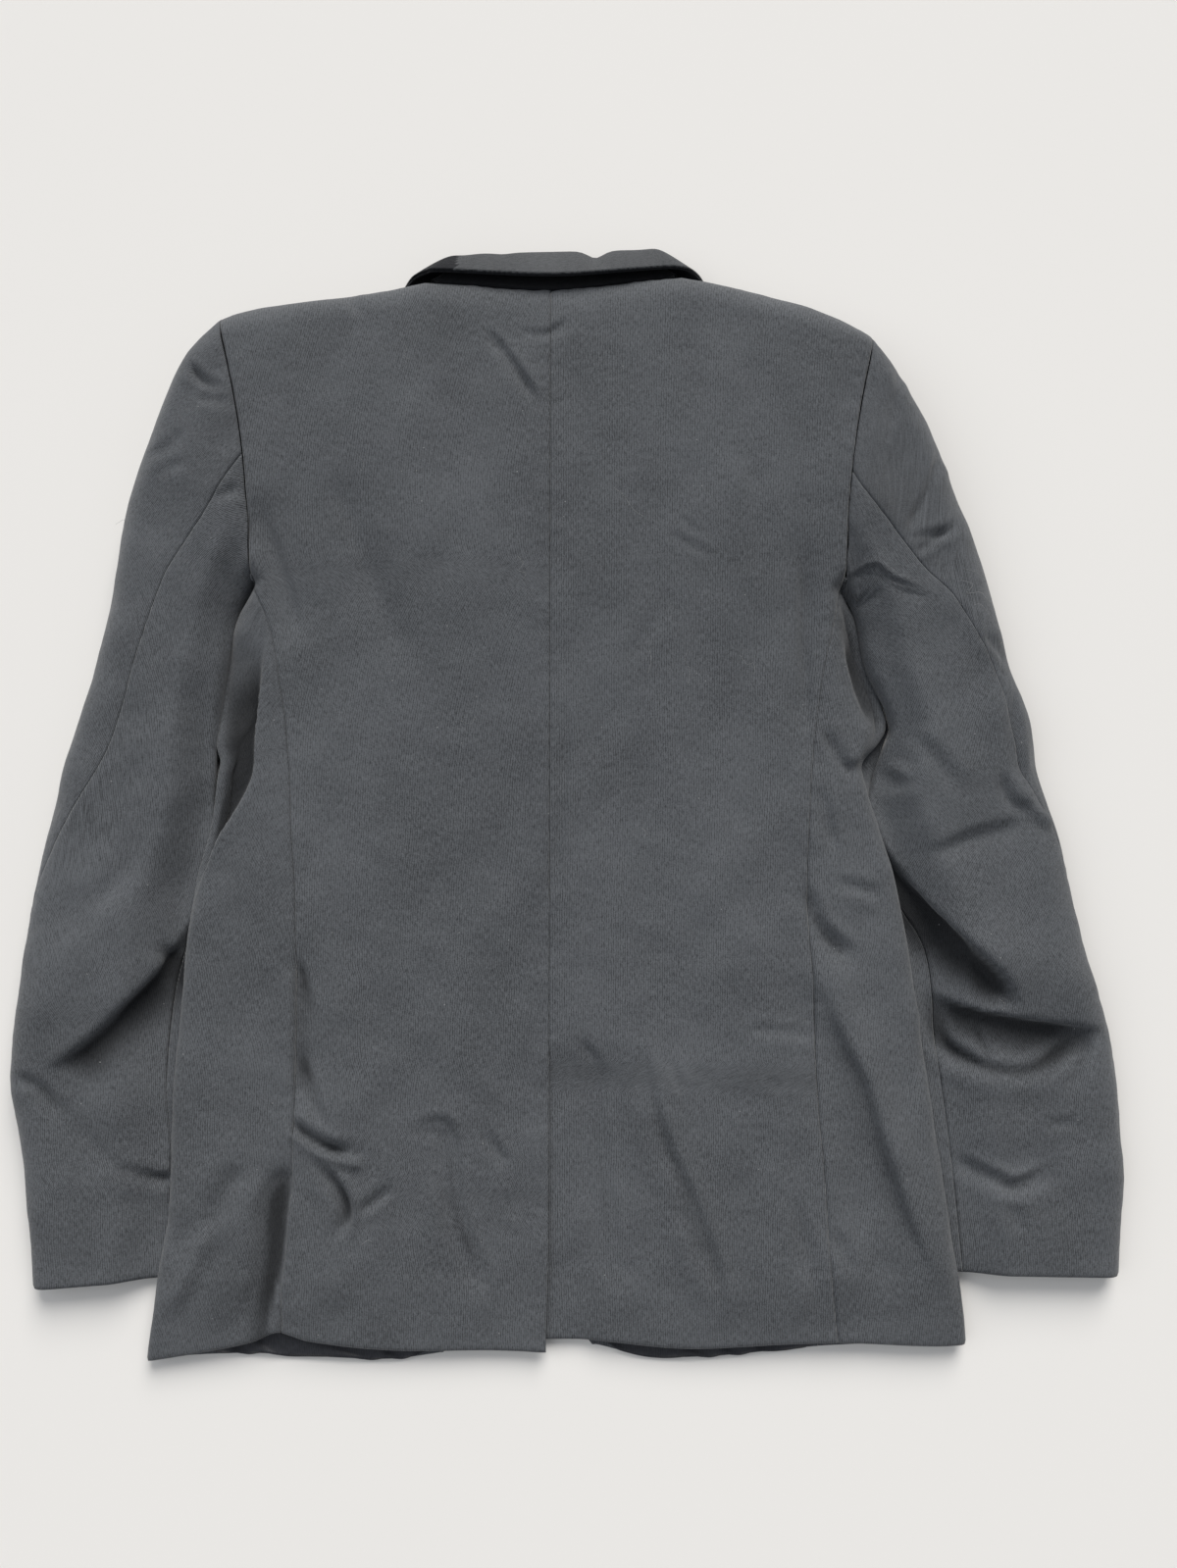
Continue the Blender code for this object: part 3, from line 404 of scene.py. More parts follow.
# each sleeve is a row of flattened rings from the armhole to the cuff; turns are in degrees
ringColumns = ("along outerX outerY innerX innerY height innerHeight foldLevel armhole "
               "hindSeam foreSeam")
sleeves = {
    "left": table(
        ringColumns,
        (0, -239.5, 324, -213, 136, 40, 30, 13, 1.0, 96, 186),
        (20, -262, 300, -214.5, 133.5, 42, 28, 11, 0.75, 100, 186),
        (60, -284, 248, -216, 130, 40, 26, 10.5, 0.4, 99, 185),
        (110, -302, 192, -218.5, 126, 36, 24, 10, 0.12, 93, 184),
        (160, -309, 140, -225, 112, 33, 24, 10, 0, 82, 182),
        (220, -319, 85, -231.5, 76, 31, 22, 10, 0, 74, 180),
        (285, -336, 22, -237.5, 12, 29, 12, 10, 0, 68, 176),
        (345, -348, -35, -234, -38, 27, 9, 10, 0, 40, 160),
        (415, -359, -107, -222, -107, 26, 8.5, 10, 0, 0, 122),
        (500, -365, -194, -216, -186, 23, 8.5, 10, 0, -14, 111),
        (560, -354, -254, -218, -250, 20, 8.5, 9, 0, -18, 114),
        (640, -345, -331, -226, -322, 17, 8.5, 8, 0, -22, 118),
    ),
    "right": table(
        ringColumns,
        (0, 213, 310, 190, 131, 40, 30, 13, 1.0, 98, 186),
        (20, 227, 291, 191.5, 128, 42, 28, 11, 0.75, 101, 186),
        (60, 253, 241, 193.5, 125, 40, 26, 10.5, 0.4, 99, 185),
        (110, 281, 167, 196.5, 120, 36, 24, 10, 0.12, 88, 184),
        (150, 292, 130, 201, 106, 33, 24, 10, 0, 70, 182),
        (205, 304, 78, 207, 75, 31, 22, 10, 0, 50, 180),
        (242, 315, 46, 221.5, 38, 30, 19, 10, 0, 52, 177),
        (262, 318, 26, 215.5, 21, 29.5, 14, 10, 0, 48, 176),
        (282, 320, 8, 209.5, 3, 29, 9, 10, 0, 44, 174),
        (330, 333, -42, 200, -38, 27, 9, 10, 0, 14, 160),
        (395, 345, -104, 203, -102, 26, 8.5, 10, 0, -6, 122),
        (475, 362, -178, 211, -176, 23, 8.5, 10, 0, -14, 122),
        (555, 365.5, -260, 224, -256, 20, 8.5, 9, 0, -18, 124),
        (640, 361, -323, 236, -321, 17, 8.5, 8, 0, -22, 128),
    ),
}
sleeves["left"]["folds"] = [(-290, -80, -345, -150, 20, 4), (-350, -196, -290, -252, 15, -3)]
sleeves["right"]["folds"] = [(262, -176, 345, -172, 15, -4), (270, -110, 350, -140, 20, 4),
                             (241, -46, 314, -26, 14, -3), (256, -248, 321, -254, 14, -3)]


sleeveShape = {
    "innerLevel": 10.0,  # how high the inner fold lies at most
    "underRound": 1.3,
    "outerRound": (1.3, 24.0),  # a share of the sleeve's rise, and the most it may be
    "innerRound": (0.8, 13.0),
    "coveredSlope": (0.27, 0.24),  # where the sleeve sinks under the body, across its width
    "foldEnd": (0.12, 0.10),
    "seamGap": (0.04, 0.06),
    "crowding": 1.08,
}


def sleevePlan(side, angle, along):
    rings, hole = sleeves[side], armholes[side]
    across = (1.0 - np.cos(angle)) / 2.0
    bow = np.where(np.sin(angle) >= 0.0, hole["backBow"], hole["frontBow"])
    outer = readCurve(rings, "outerX", along), readCurve(rings, "outerY", along)
    inner = readCurve(rings, "innerX", along), readCurve(rings, "innerY", along)
    hold = np.maximum(readCurve(rings, "armhole", along), 0.0)
    x = lerp(outer[0], inner[0], across) + bow * np.sin(math.pi * across) * hold
    y = lerp(outer[1], inner[1], across)
    return x, y, np.hypot(outer[0] - inner[0], outer[1] - inner[1])


def sleeveForm(side, angle, along):
    rings = sleeves[side]
    x, y, width = sleevePlan(side, angle, along)
    across = (1.0 - np.cos(angle)) / 2.0
    innerHeight = readCurve(rings, "innerHeight", along)
    level = lerp(readCurve(rings, "foldLevel", along),
                 np.minimum(sleeveShape["innerLevel"], innerHeight / 2.0), across)
    reach = sleeveShape["underRound"] * level
    under = level * (1.0 - rounding(across * width, reach)
                     * rounding((1.0 - across) * width, reach))
    innerX, innerY = readCurve(rings, "innerX", along), readCurve(rings, "innerY", along)
    outerX = readCurve(rings, "outerX", along)
    covered = np.minimum((edgeX(side, innerY) - outerX) / (innerX - outerX), 1.0)
    plateau = lerp(readCurve(rings, "height", along), innerHeight,
                   beyond(across - covered, *sleeveShape["coveredSlope"]))
    foldFade = 1.0 - beyond(across - covered, *sleeveShape["foldEnd"])
    rise = plateau + foldHeight(rings["folds"], x, y) * foldFade - level
    outer, inner = [np.minimum(share * rise, most)
                    for share, most in (sleeveShape["outerRound"], sleeveShape["innerRound"])]
    over = level + rise * rounding(across * width, outer) * rounding(
        (1.0 - across) * width, inner)
    return np.where(np.sin(angle) < 0.0, under, over)


def sleevePoint(side, turn, along):
    angle = np.radians(turn) % math.tau
    x, y, _ = sleevePlan(side, angle, along)
    height = sleeveForm(side, angle, along)
    hold = np.maximum(readCurve(sleeves[side], "armhole", along), 0.0)
    holeX, holeY, _ = sleevePlan(side, angle, 0.0 * along)
    onBody = np.where(np.sin(angle) >= 0.0, backHeight(side, holeX, holeY),
                      bottomHeight(side, holeX, holeY))
    height = height + (onBody - sleeveForm(side, angle, 0.0 * along)) * hold ** 2
    return x + outward[side] * body["armholeGap"] / 2.0, y, height


def sleeveFace(side, kind):
    rings = sleeves[side]

    def seamTurn(column, along, direction):
        turn = readCurve(rings, column, along)
        straight, edgeOn = sleeveShape["seamGap"]
        return turn + direction * (straight + edgeOn * np.abs(np.cos(np.radians(turn))))

    def face(across, along):
        across = 1.0 - across if side == "left" else across
        key = rings["along"][-1] * along ** sleeveShape["crowding"]
        ends = seamTurn("hindSeam", key, 1.0), seamTurn("foreSeam", key, -1.0)
        if kind == "top":
            ends = seamTurn("foreSeam", key, 1.0), seamTurn("hindSeam", key, -1.0) + 360.0
        return sleevePoint(side, lerp(*ends, across), key)

    return face


# the collar's neck seam, fold and free edge at places along the neck
collar = table(
    "along neckX neckY neckZ foldX foldY foldZ edgeX edgeY edgeZ",
    (0, -66.5, 290, 7.7, -52, 299, 5.5, -104, 270, 1.9),
    (30, -89.5, 331, 8.5, -71, 341, 5.6, -122, 322, 1.9),
    (60, -94.5, 346, 9, -80, 357, 6, -120, 345, 2.8),
    (92, -95, 356.5, 13, -85, 366, 11.5, -110, 357.5, 12.5),
    (124, -86, 352, 18.5, -78, 371, 17, -98, 357.5, 24),
    (148, -70, 349, 21.5, -62, 373, 17.5, -86, 355, 31),
    (184, -10, 343.2, 25, -8, 377, 14, -10, 348, 38),
    (220, 50, 351, 22, 46, 376.5, 16.5, 48, 354, 34),
    (244, 69, 355.5, 18.5, 61, 375.5, 17.5, 77, 360, 26),
    (276, 78, 360.5, 13, 68, 370, 11.5, 93, 361.5, 12.5),
    (308, 77.5, 350, 9, 64, 360.5, 6.3, 103, 349, 2.8),
    (338, 72.5, 333, 8.5, 54, 344, 5.6, 105, 326, 1.9),
    (368, 50, 292, 7.7, 35.5, 301, 5.5, 87, 272, 1.9),
)
collar.update(foldSoftness=0.09, foldRadius=2.9, wall=1.1)
collar["dips"] = [(21, 8, -6.5), (-41, 7, -1.2), (62, 6, 1.0), (-66, 8, -1.0)]  # x, half width, y


def collarMiddle(across, along):
    key = along * collar["along"][-1]
    corner = lambda name: np.stack([readCurve(collar, name + axis, key) for axis in "XYZ"], -1)
    neck, fold, edge = corner("neck"), corner("fold"), corner("edge")
    onTop = smooth((fold[..., 2] - 9.0) / 4.0)
    for x, halfWidth, move in collar["dips"]:
        fold[..., 1] += move * np.exp(-((fold[..., 0] - x) / halfWidth) ** 2) * onTop
    turn = 2.0 * across - 1.0
    turn = turn * np.abs(turn) ** 0.4
    reach = np.hypot(turn, collar["foldSoftness"])
    unit = lambda v: v / np.linalg.norm(v, axis=-1, keepdims=True)
    opening = unit(unit(edge - fold) - unit(neck - fold))
    opening = opening * (collar["foldRadius"] * (1.0 - turn * turn))[..., None]
    return (fold + (neck - fold) * ((reach - turn) / 2.0)[..., None]
            + (edge - fold) * ((reach + turn) / 2.0)[..., None]
            + opening * (turn / reach)[..., None])


# creases: x and y of points along each, depth (below zero a trough), half width, lean aside
bodyCreases = [
    ((-208, 192, -188, 132, -180, 96), -0.9, 7, 0.4),
    ((-155, 206, -138, 152, -108, 80), -0.7, 9, -0.3),
    ((-54, 312, -35, 286, -17, 256), -1.1, 4.6, 0.4),
    ((-37, 310, -12, 307, 5, 321), -0.7, 5.0, 0.3),
    ((-153, 340, -138, 315), -0.8, 5, 0.0),
    ((4, 75, 0, 4, -6, -60, -20, -100), -0.9, 6, 0.4),
    ((-177, -116, -164, -160), -1.0, 5, 0.3),
    ((-174, -178, -156, -230), -1.3, 6, 0.3),
    ((-181, -223, -162, -238, -138, -247), -2.6, 4.2, -0.4),
    ((-152, -247, -128, -252), 1.2, 4.5, 0.0),
    ((-166, -243, -146, -264, -139, -282, -145, -302), -2.2, 5, 0.4),
    ((-135, -284, -109, -265), -1.2, 4.5, -0.2),
    ((-180, -252, -186, -282, -187, -319, -198, -353), -2.4, 8, 0.3),
    ((-209, -248, -234, -298), -1.2, 9, 0.0),
    ((-255, -346, -226, -285), 1.4, 8, 0.0),
    ((-106, -231, -76, -227, -69, -279, -60, -304, -46, -334), -1.6, 6.5, 0.4),
    ((-56, -227, -36, -255), -0.9, 5, 0.0),
    ((-46, -291, -29, -299), -0.8, 4, 0.0),
    ((162, 160, 162, 105, 164, 40), -1.0, 7, -0.4),
    ((194, 100, 201, 64, 209, 40), -1.5, 6, -0.3),
    ((171, 39, 186, 15, 196, 1), -1.1, 5, 0.0),
    ((170, 0, 181, -52), -1.1, 6, 0.2),
    ((162, -65, 172, -97, 197, -119), -1.3, 6, 0.3),
    ((177, -67, 214, -77), -0.9, 5, 0.0),
    ((171, -289, 190, -324), -1.0, 6, 0.0),
    ((148, -268, 168, -353), -0.9, 7, 0.0),
    ((47, -158, 67, -234, 85, -274, 101, -320, 101, -353), -1.2, 6, 0.5),
    ((66, -180, 79, -208), -0.8, 4.5, 0.0),
    ((18, -187, 27, -258, 34, -324), -1.1, 7, 0.4),
    ((9, -168, 25, -199), -0.9, 5, 0.0),
    ((72, -268, 96, -330), -0.8, 6, 0.0),
    ((116, -164, 167, -168), -0.6, 4.5, 0.0),
    ((133, -197, 144, -203), -0.6, 4, 0.0),
    ((68, 168, 101, 150), -0.5, 3.5, 0.0),
    ((79, 178, 88, 166), -0.4, 3.5, 0.0),
    ((77, 135, 42, 75), -0.5, 8, 0.0),
    ((131, 218, 127, 177), -0.5, 8, 0.0),
]
sleeveCreases = {
    "left": [
        ((-255, 284, -245, 272, -231, 266), -1.4, 3.5, 0.3),
        ((-249, 258, -227, 255), -0.9, 4, 0.0),
        ((-287, 217, -265, 226, -261, 238), -0.7, 5.5, 0.2),
        ((-280, 203, -253, 216), -0.4, 5, 0.0),
        ((-239, 186, -215, 199), -0.7, 5, 0.0),
        ((-271, -105, -251, -141), -1.8, 6, 0.0),
        ((-315, -90, -280, -47), -1.0, 9, 0.0),
        ((-361, -192, -343, -202, -327, -223), -1.4, 5, 0.2),
        ((-349, -191, -320, -221, -296, -246, -281, -260), -0.6, 4, 0.4),
        ((-292, -251, -270, -260, -254, -261), -1.8, 5, 0.3),
        ((-300, 90, -285, 20), -0.7, 10, 0.0),
    ],
    "right": [
        ((229, 284, 228, 271, 223, 250, 217, 226), -0.9, 5, 0.3),
        ((256, 227, 245, 197, 228, 165), -1.6, 4, -0.3),
        ((270, 175, 233, 150), -1.3, 4, 0.2),
        ((229, 161, 263, 168), -1.1, 3.5, 0.0),
        ((190, 136, 207, 143, 220, 134, 248, 124), -1.2, 2.6, 0.3),
        ((191, 132, 199, 122, 208, 131), -1.2, 2.6, 0.0),
        ((281, 100, 300, 79), -0.9, 5, 0.0),
        ((301, 66, 301, 24, 309, -5), -1.2, 6, 0.3),
        ((292, 6, 298, -13, 316, -20), -1.3, 5, 0.2),
        ((306, -15, 329, -32), 1.1, 5, 0.0),
        ((216, 15, 234, 0), 1.0, 5, 0.0),
        ((232, 36, 271, -11), -0.7, 7, 0.3),
        ((239, -50, 271, -36, 317, -23), -0.7, 6, 0.4),
        ((243, -132, 250, -171, 272, -186, 301, -191, 324, -180, 357, -160), -2.4, 6, 0.3),
        ((269, -164, 283, -188), -0.9, 3.5, 0.0),
        ((347, -169, 330, -204), -1.0, 5, 0.0),
        ((252, -244, 282, -258, 295, -262, 323, -250), -1.8, 5, 0.4),
        ((313, -226, 337, -224), -0.7, 4, 0.0),
        ((287, -274, 298, -297), -0.8, 6, 0.0),
    ],
}
# folded steps: points with the high side on their right, rise, its reach, drop, its reach
bodySteps = [
    ((242, -326, 225, -289, 207, -234, 196, -196, 183, -171, 163, -120), 2.8, 14, -3.8, 16),
    ((-177, -104, -177, -165, -176, -226), 1.2, 14, -4.2, 17),
    ((-202, -420, -188, -345, -180, -290, -177, -236), 1.2, 14, -7.0, 17),
    ((-250, -86, -233, -42, -219, -19, -208.6, 4, -208, 30, -205, 62, -199, 108),
     1.4, 12, -13.0, 30),
    ((212, 26, 190, 12, 172, 40), 1.0, 10, -2.0, 12),
    ((168, 10, 166, 60, 164, 120), 1.0, 12, -1.6, 14),
    ((198, -122, 172, -97, 160, -60), 1.3, 12, -3.0, 14),
    ((236, 0, 225, 40, 213, 72, 203, 108, 190, 148), 0.0, 10, -7.0, 20),
    ((-42, -344, -60, -304, -69, -279, -78, -232, -108, -230), 1.0, 10, -2.2, 10),
    ((-184, -220, -162, -238, -132, -250), 1.2, 9, -2.6, 8),
    ((-150, -308, -139, -282, -147, -262, -170, -240), 0.8, 9, -2.0, 8),
    ((101, -362, 101, -320, 85, -274, 67, -234, 47, -158), 1.0, 12, -2.0, 12),
    ((36, -340, 27, -258, 18, -180), 0.8, 12, -1.4, 12),
    ((-14, 252, -34, 286, -56, 314), 0.6, 9, -1.1, 8),
]
sleeveSteps = {
    "left": [
        ((-236, -66, -269, -124, -291, -151, -318, -176, -342, -192), 3.0, 34, -9.5, 26),
        ((-281, -262, -300, -243, -325, -222, -347, -192), 0.7, 16, -1.0, 14),
        ((-230, 263, -244, 271, -256, 286), 0.6, 8, -1.0, 6),
    ],
    "right": [
        ((302, -158, 290, -133, 259, -101, 237, -75, 212, -40, 206, -12), 3.5, 30, -13.0, 25),
        ((366, -164, 325, -161, 293, -156, 262, -150, 240, -138), 2.0, 18, -9.0, 26),
        ((322, -22, 271, -35, 238, -50), 1.6, 18, -1.8, 16),
        ((254, 121, 222, 130, 207, 140, 189, 137), 1.6, 8, -2.2, 5),
        ((212, 132, 200, 121, 190, 130), 0.6, 6, -3.0, 5),
        ((316, -20, 298, -14, 292, 6), 1.6, 12, -2.4, 10),
        ((268, -12, 232, 38), 1.2, 20, -1.3, 16),
        ((296, -146, 272, -120, 246, -112), 1.0, 10, -2.0, 10),
        ((322, -252, 295, -264, 276, -257, 250, -243), 1.4, 10, -2.2, 9),
    ],
}
# the underside lies flat, so its creases are shallow hollows above the floor
undersideCreases = [
    ((-150, -60, -95, -120, -60, -200), -1.4, 7, 0.3),
    ((-160, 30, -110, 60, -60, 70), -1.1, 6, 0.2),
    ((-180, 200, -150, 150, -140, 90), -1.2, 7, 0.3),
    ((-140, -250, -120, -310, -125, -350), -1.2, 6, 0.2),
    ((60, 60, 100, 20, 150, 10), -1.2, 6, 0.2),
    ((150, 200, 120, 140, 115, 80), -1.2, 7, -0.3),
    ((60, -120, 100, -190, 110, -260), -1.4, 7, 0.3),
    ((120, -290, 135, -350), -1.0, 6, 0.0),
    ((-330, -30, -300, -70, -250, -90), -1.5, 7, 0.3),
    ((-340, -180, -300, -210, -250, -215), -1.3, 6, 0.2),
    ((-290, 200, -260, 160, -240, 150), -1.2, 6, 0.0),
    ((230, -40, 280, -80, 330, -90), -1.5, 7, 0.3),
    ((250, -210, 300, -230, 345, -220), -1.3, 6, 0.2),
    ((220, 190, 250, 160, 280, 150), -1.2, 6, 0.0),
]


creaseLook = {"depth": 2.0, "width": 0.74, "taper": 0.3, "unevenDepth": 0.25, "swell": 0.33,
              "stepSoftness": 2.2, "stepTaper": 0.28}


def resample(points, count=25):
    # a smooth line through listed points, given as x and y in turn
    points = np.reshape(points, (-1, 2)).astype(float)
    if len(points) == 2:
        return points[0] + (points[1] - points[0]) * np.linspace(0, 1, count)[:, None]
    padded = np.vstack([2 * points[0] - points[1], points, 2 * points[-1] - points[-2]])
    line = []
    for t in np.linspace(0, len(points) - 1.0001, count):
        k, f = int(t), t - int(t)
        a, b, c, d = padded[k:k + 4]
        line.append(0.5 * (2 * b + (c - a) * f + (2 * a - 5 * b + 4 * c - d) * f * f
                           + (3 * b - a - 3 * c + d) * f ** 3))
    return np.array(line)


def nearestOnLine(points, x, y):
    # distance to a line, its side (1 on its right) and how far along it the nearest point is
    line = resample(points)
    best = np.full(x.shape, 1e9)
    side, share = np.zeros_like(x), np.zeros_like(x)
    for k in range(len(line) - 1):
        start, run = line[k], line[k + 1] - line[k]
        length = max(float(np.hypot(*run)), 1e-6)
        t = np.clip(((x - start[0]) * run[0] + (y - start[1]) * run[1]) / length ** 2, 0, 1)
        dx, dy = x - start[0] - run[0] * t, y - start[1] - run[1] * t
        away = np.hypot(dx, dy)
        closer = away < best
        best = np.where(closer, away, best)
        side = np.where(closer, np.sign(dx * run[1] - dy * run[0]), side)
        share = np.where(closer, (k + t) / (len(line) - 1), share)
    return best, side, share


def closeTo(points, x, y, reach):
    xs, ys = points[::2], points[1::2]
    return ((x > min(xs) - reach) & (x < max(xs) + reach)
            & (y > min(ys) - reach) & (y < max(ys) + reach))


def creaseHeight(creases, x, y):
    # each crease is a rounded trough that leans, with the cloth swollen beside it
    total = np.zeros_like(x)
    for number, (points, depth, halfWidth, lean) in enumerate(creases):
        near = closeTo(points, x, y, 5.0 * halfWidth)
        if not near.any():
            continue
        away, side, share = nearestOnLine(points, x[near], y[near])
        width = creaseLook["width"] * halfWidth * (1.0 + lean * side)
        taper = smooth(share / creaseLook["taper"]) * smooth((1.0 - share) / creaseLook["taper"])
        taper = taper * (1.0 + creaseLook["unevenDepth"] * np.sin(7.0 * share + number))
        trough = np.exp(-(away / width) ** 2)
        swell = creaseLook["swell"] * np.exp(-((away - 2.1 * width) / (1.2 * width)) ** 2)
        total[near] += creaseLook["depth"] * depth * taper * (trough - swell)
    return total


def stepHeight(steps, x, y):
    # cloth folded over itself: it swells up to the line and drops beyond it
    total = np.zeros_like(x)
    for points, rise, riseReach, drop, dropReach in steps:
        near = closeTo(points, x, y, 4.0 * max(riseReach, dropReach))
        if not near.any():
            continue
        away, side, share = nearestOnLine(points, x[near], y[near])
        taper = creaseLook["stepTaper"]
        taper = smooth(share / taper) * smooth((1.0 - share) / taper)
        sharp = np.tanh(away / min(creaseLook["stepSoftness"], 0.25 * dropReach))
        high = rise * np.exp(-(away / riseReach) ** 1.5)
        low = drop * np.exp(-(away / dropReach) ** 2.0)
        total[near] += taper * sharp * np.where(side > 0, high, low)
    return total


waves = ((95, 0.5), (70, 0.42), (52, 0.34), (38, 0.26), (27, 0.17), (19, 0.1), (13, 0.055))


def unevenness(x, y, seed):
    # soft waves of these lengths and heights that cross each other, the same each time
    wave = 0.0
    rng = np.random.default_rng(seed)
    for length, height in waves:
        for _ in range(2):
            angle, phase, bend = rng.uniform(0, math.pi), rng.uniform(0, 6.28), rng.uniform(2, 5)
            run = x * math.cos(angle) + y * math.sin(angle)
            cross = y * math.cos(angle) - x * math.sin(angle)
            run = run + bend * 2.0 * np.sin(cross / (length * 0.8) + phase)
            wave = wave + height * 0.5 * np.sin(math.tau * run / length + phase)
    return wave


print("forms ready")


def gathered(share, amount):
    # rows drawn closer together at both ends of a piece
    return share - amount * np.sin(math.tau * share) / math.tau


def gridNormals(points):
    overX = np.gradient(points, axis=1)
    overY = np.gradient(points, axis=0)
    normal = np.cross(overX, overY)
    return normal / np.maximum(np.linalg.norm(normal, axis=-1, keepdims=True), 1e-9)


def borderDistance(points):
    # how far each point is from the piece's left, right, lower and upper borders, along the cloth
    stepX = np.linalg.norm(np.diff(points, axis=1), axis=-1)
    stepY = np.linalg.norm(np.diff(points, axis=0), axis=-1)
    fromLeft = np.hstack([np.zeros((points.shape[0], 1)), np.cumsum(stepX, axis=1)])
    fromBelow = np.vstack([np.zeros((1, points.shape[1])), np.cumsum(stepY, axis=0)])
    return (fromLeft, fromLeft[:, -1:] - fromLeft, fromBelow, fromBelow[-1:, :] - fromBelow)


seamLook = {"groove": 0.22, "grooveWidth": 0.9, "allowance": 0.22, "allowanceWidth": 9.0,
            "pucker": 0.16, "edgeDrop": 0.7, "edgeWidth": 1.3}


def seamRelief(distance, along, seed):
    # a seam: the edge turns down into it, its allowance lifts the cloth a little, and it puckers
    groove = -seamLook["groove"] * np.exp(-(distance / seamLook["grooveWidth"]) ** 2)
    allowance = seamLook["allowance"] * smooth(distance / 3.0) * (
        1.0 - smooth((distance - seamLook["allowanceWidth"]) / 3.5))
    pucker = seamLook["pucker"] * np.exp(-((distance - 4.0) / 6.0) ** 2) * (
        np.sin(along / 2.1 + 1.3 * np.sin(along / 9.0 + seed)) + 0.5 * np.sin(along / 3.7 + seed))
    return groove + allowance + pucker


def edgeRelief(distance):
    # a turned edge, rounded over
    return -seamLook["edgeDrop"] * np.exp(-(distance / seamLook["edgeWidth"]) ** 2)


pieces = {}
surfaces = {}


def addPiece(name, shape, nodes):
    mesh = bpy.data.meshes.new(name)
    shape.to_mesh(mesh)
    shape.free()
    mesh.shade_smooth()
    piece = bpy.data.objects.new(name, mesh)
    bpy.context.scene.collection.objects.link(piece)
    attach(piece, "root")
    if nodes:
        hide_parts(*nodes)
    pieces[name] = piece


def clothPiece(name, node, gridSize, face, wall, shape, crowd=(0.2, 0.2)):
    # face(across, along) gives the outer surface; shape(points, normals) its relief and the fold
    # depth that sets the painted fold shade
    columns, rows = gridSize
    across = gathered(np.linspace(0, 1, columns + 1), crowd[0])
    along = gathered(np.linspace(0, 1, rows + 1), crowd[1])
    points = np.stack(face(*np.meshgrid(across, along)), -1)
    normals = gridNormals(points)
    relief, foldDepthAndPaintedShade = shape(points, normals)
    # deeper folds get a stronger painted shade, kept on each corner as an attribute for the
    # cloth's colour
    foldDepthAndPaintedShade = smooth((-foldDepthAndPaintedShade - 1.0) / 8.0)
    points = points + normals * relief[..., None]
    points[..., 2] = np.maximum(points[..., 2], 0.0)
    normals = gridNormals(points)
    surfaces[name] = points[normals[..., 2] > 0.2]
    inner = points - normals * wall
    inner[..., 2] = np.maximum(inner[..., 2], 0.35)
    fromLeft, _, fromBelow, _ = borderDistance(points)
    cloth = bmesh.new()
    bmesh.ops.create_grid(cloth, x_segments=columns, y_segments=rows, size=0.5)
    wrongSide = bmesh.ops.extrude_face_region(cloth, geom=list(cloth.faces))
    for item in wrongSide["geom"]:
        if isinstance(item, bmesh.types.BMVert):
            item.co.z = -1.0
    uv = cloth.loops.layers.uv.new("weave")
    # a corner attribute that holds the painted fold shade
    shade = cloth.verts.layers.float.new("foldDepthAndPaintedShade")
    place = {}
    for corner in cloth.verts:
        i, j = round((corner.co.x + 0.5) * columns), round((corner.co.y + 0.5) * rows)
        place[corner] = (j, i)
        corner[shade] = float(foldDepthAndPaintedShade[j, i])
        corner.co = Vector((inner if corner.co.z < -0.5 else points)[j, i]) * mm
    for patch in cloth.faces:
        for loop in patch.loops:
            j, i = place[loop.vert]
            loop[uv].uv = (fromLeft[j, i] * mm, fromBelow[j, i] * mm)
    bmesh.ops.translate(cloth, verts=cloth.verts,
                        vec=(-tableMiddle[0] * mm, -tableMiddle[1] * mm, 0.0))
    bmesh.ops.recalc_face_normals(cloth, faces=cloth.faces)
    if cloth.calc_volume(signed=True) < 0.0:
        bmesh.ops.reverse_faces(cloth, faces=cloth.faces)
    addPiece(name, cloth, [node])


bodyCloth = {"creases": bodyCreases, "steps": bodySteps, "upFrom": 0.15, "seeds": (11, 5),
             "waves": lambda y: lerp(1.5, 0.9, smooth((y + 150.0) / 250.0)), "edgeWaves": 0.5,
             "layersBelow": lambda y: lerp(4.5, 12.5, smooth((8.0 - y) / 20.0)),
             "hem": (2, 6.0, 26.0)}  # which border is the hem, and where the folds flatten to it


def sleeveCloth(side):
    return {"creases": sleeveCreases[side], "steps": sleeveSteps[side], "upFrom": 0.1,
            "seeds": (23, 7), "waves": lambda y: 1.4, "edgeWaves": 0.6,
            "layersBelow": lambda y: 4.2, "hem": (3, 4.0, 20.0)}


def foldedCloth(look, seed, seams):
    # seams has the strength of the left, right, lower and upper seam, or says edge
    def shape(points, normals):
        x, y = points[..., 0], points[..., 1]
        upward = smooth((normals[..., 2] - look["upFrom"]) / 0.5)
        downward = smooth((-normals[..., 2] - 0.3) / 0.5)
        # the fold depth shapes the cloth and also sets its painted shade
        foldDepthAndPaintedShade = creaseHeight(look["creases"], x, y) + stepHeight(look["steps"], x, y)
        foldDepthAndPaintedShade = foldDepthAndPaintedShade * upward
        relief = foldDepthAndPaintedShade + look["waves"](y) * unevenness(x, y, look["seeds"][0]) * upward
        room = np.maximum(points[..., 2] - look["layersBelow"](y), 0.0)
        relief = np.maximum(relief, -room - 0.3)
        relief = relief + creaseHeight(undersideCreases, x, y) * downward
        folded = look["edgeWaves"] * unevenness(y, x, look["seeds"][1]) * (1.0 - upward)
        relief = relief + folded * (1.0 - downward)
        borders = borderDistance(points)
        hem, start, run = look["hem"]
        relief = relief * smooth((borders[hem] + start) / run)
        for border, seam in enumerate(seams):
            if seam == "edge":
                relief = relief + edgeRelief(borders[border])
            else:
                along = borders[2] if border < 2 else borders[0]
                relief = relief + seam * seamRelief(borders[border], along, seed + border)
        return relief, foldDepthAndPaintedShade
    return shape


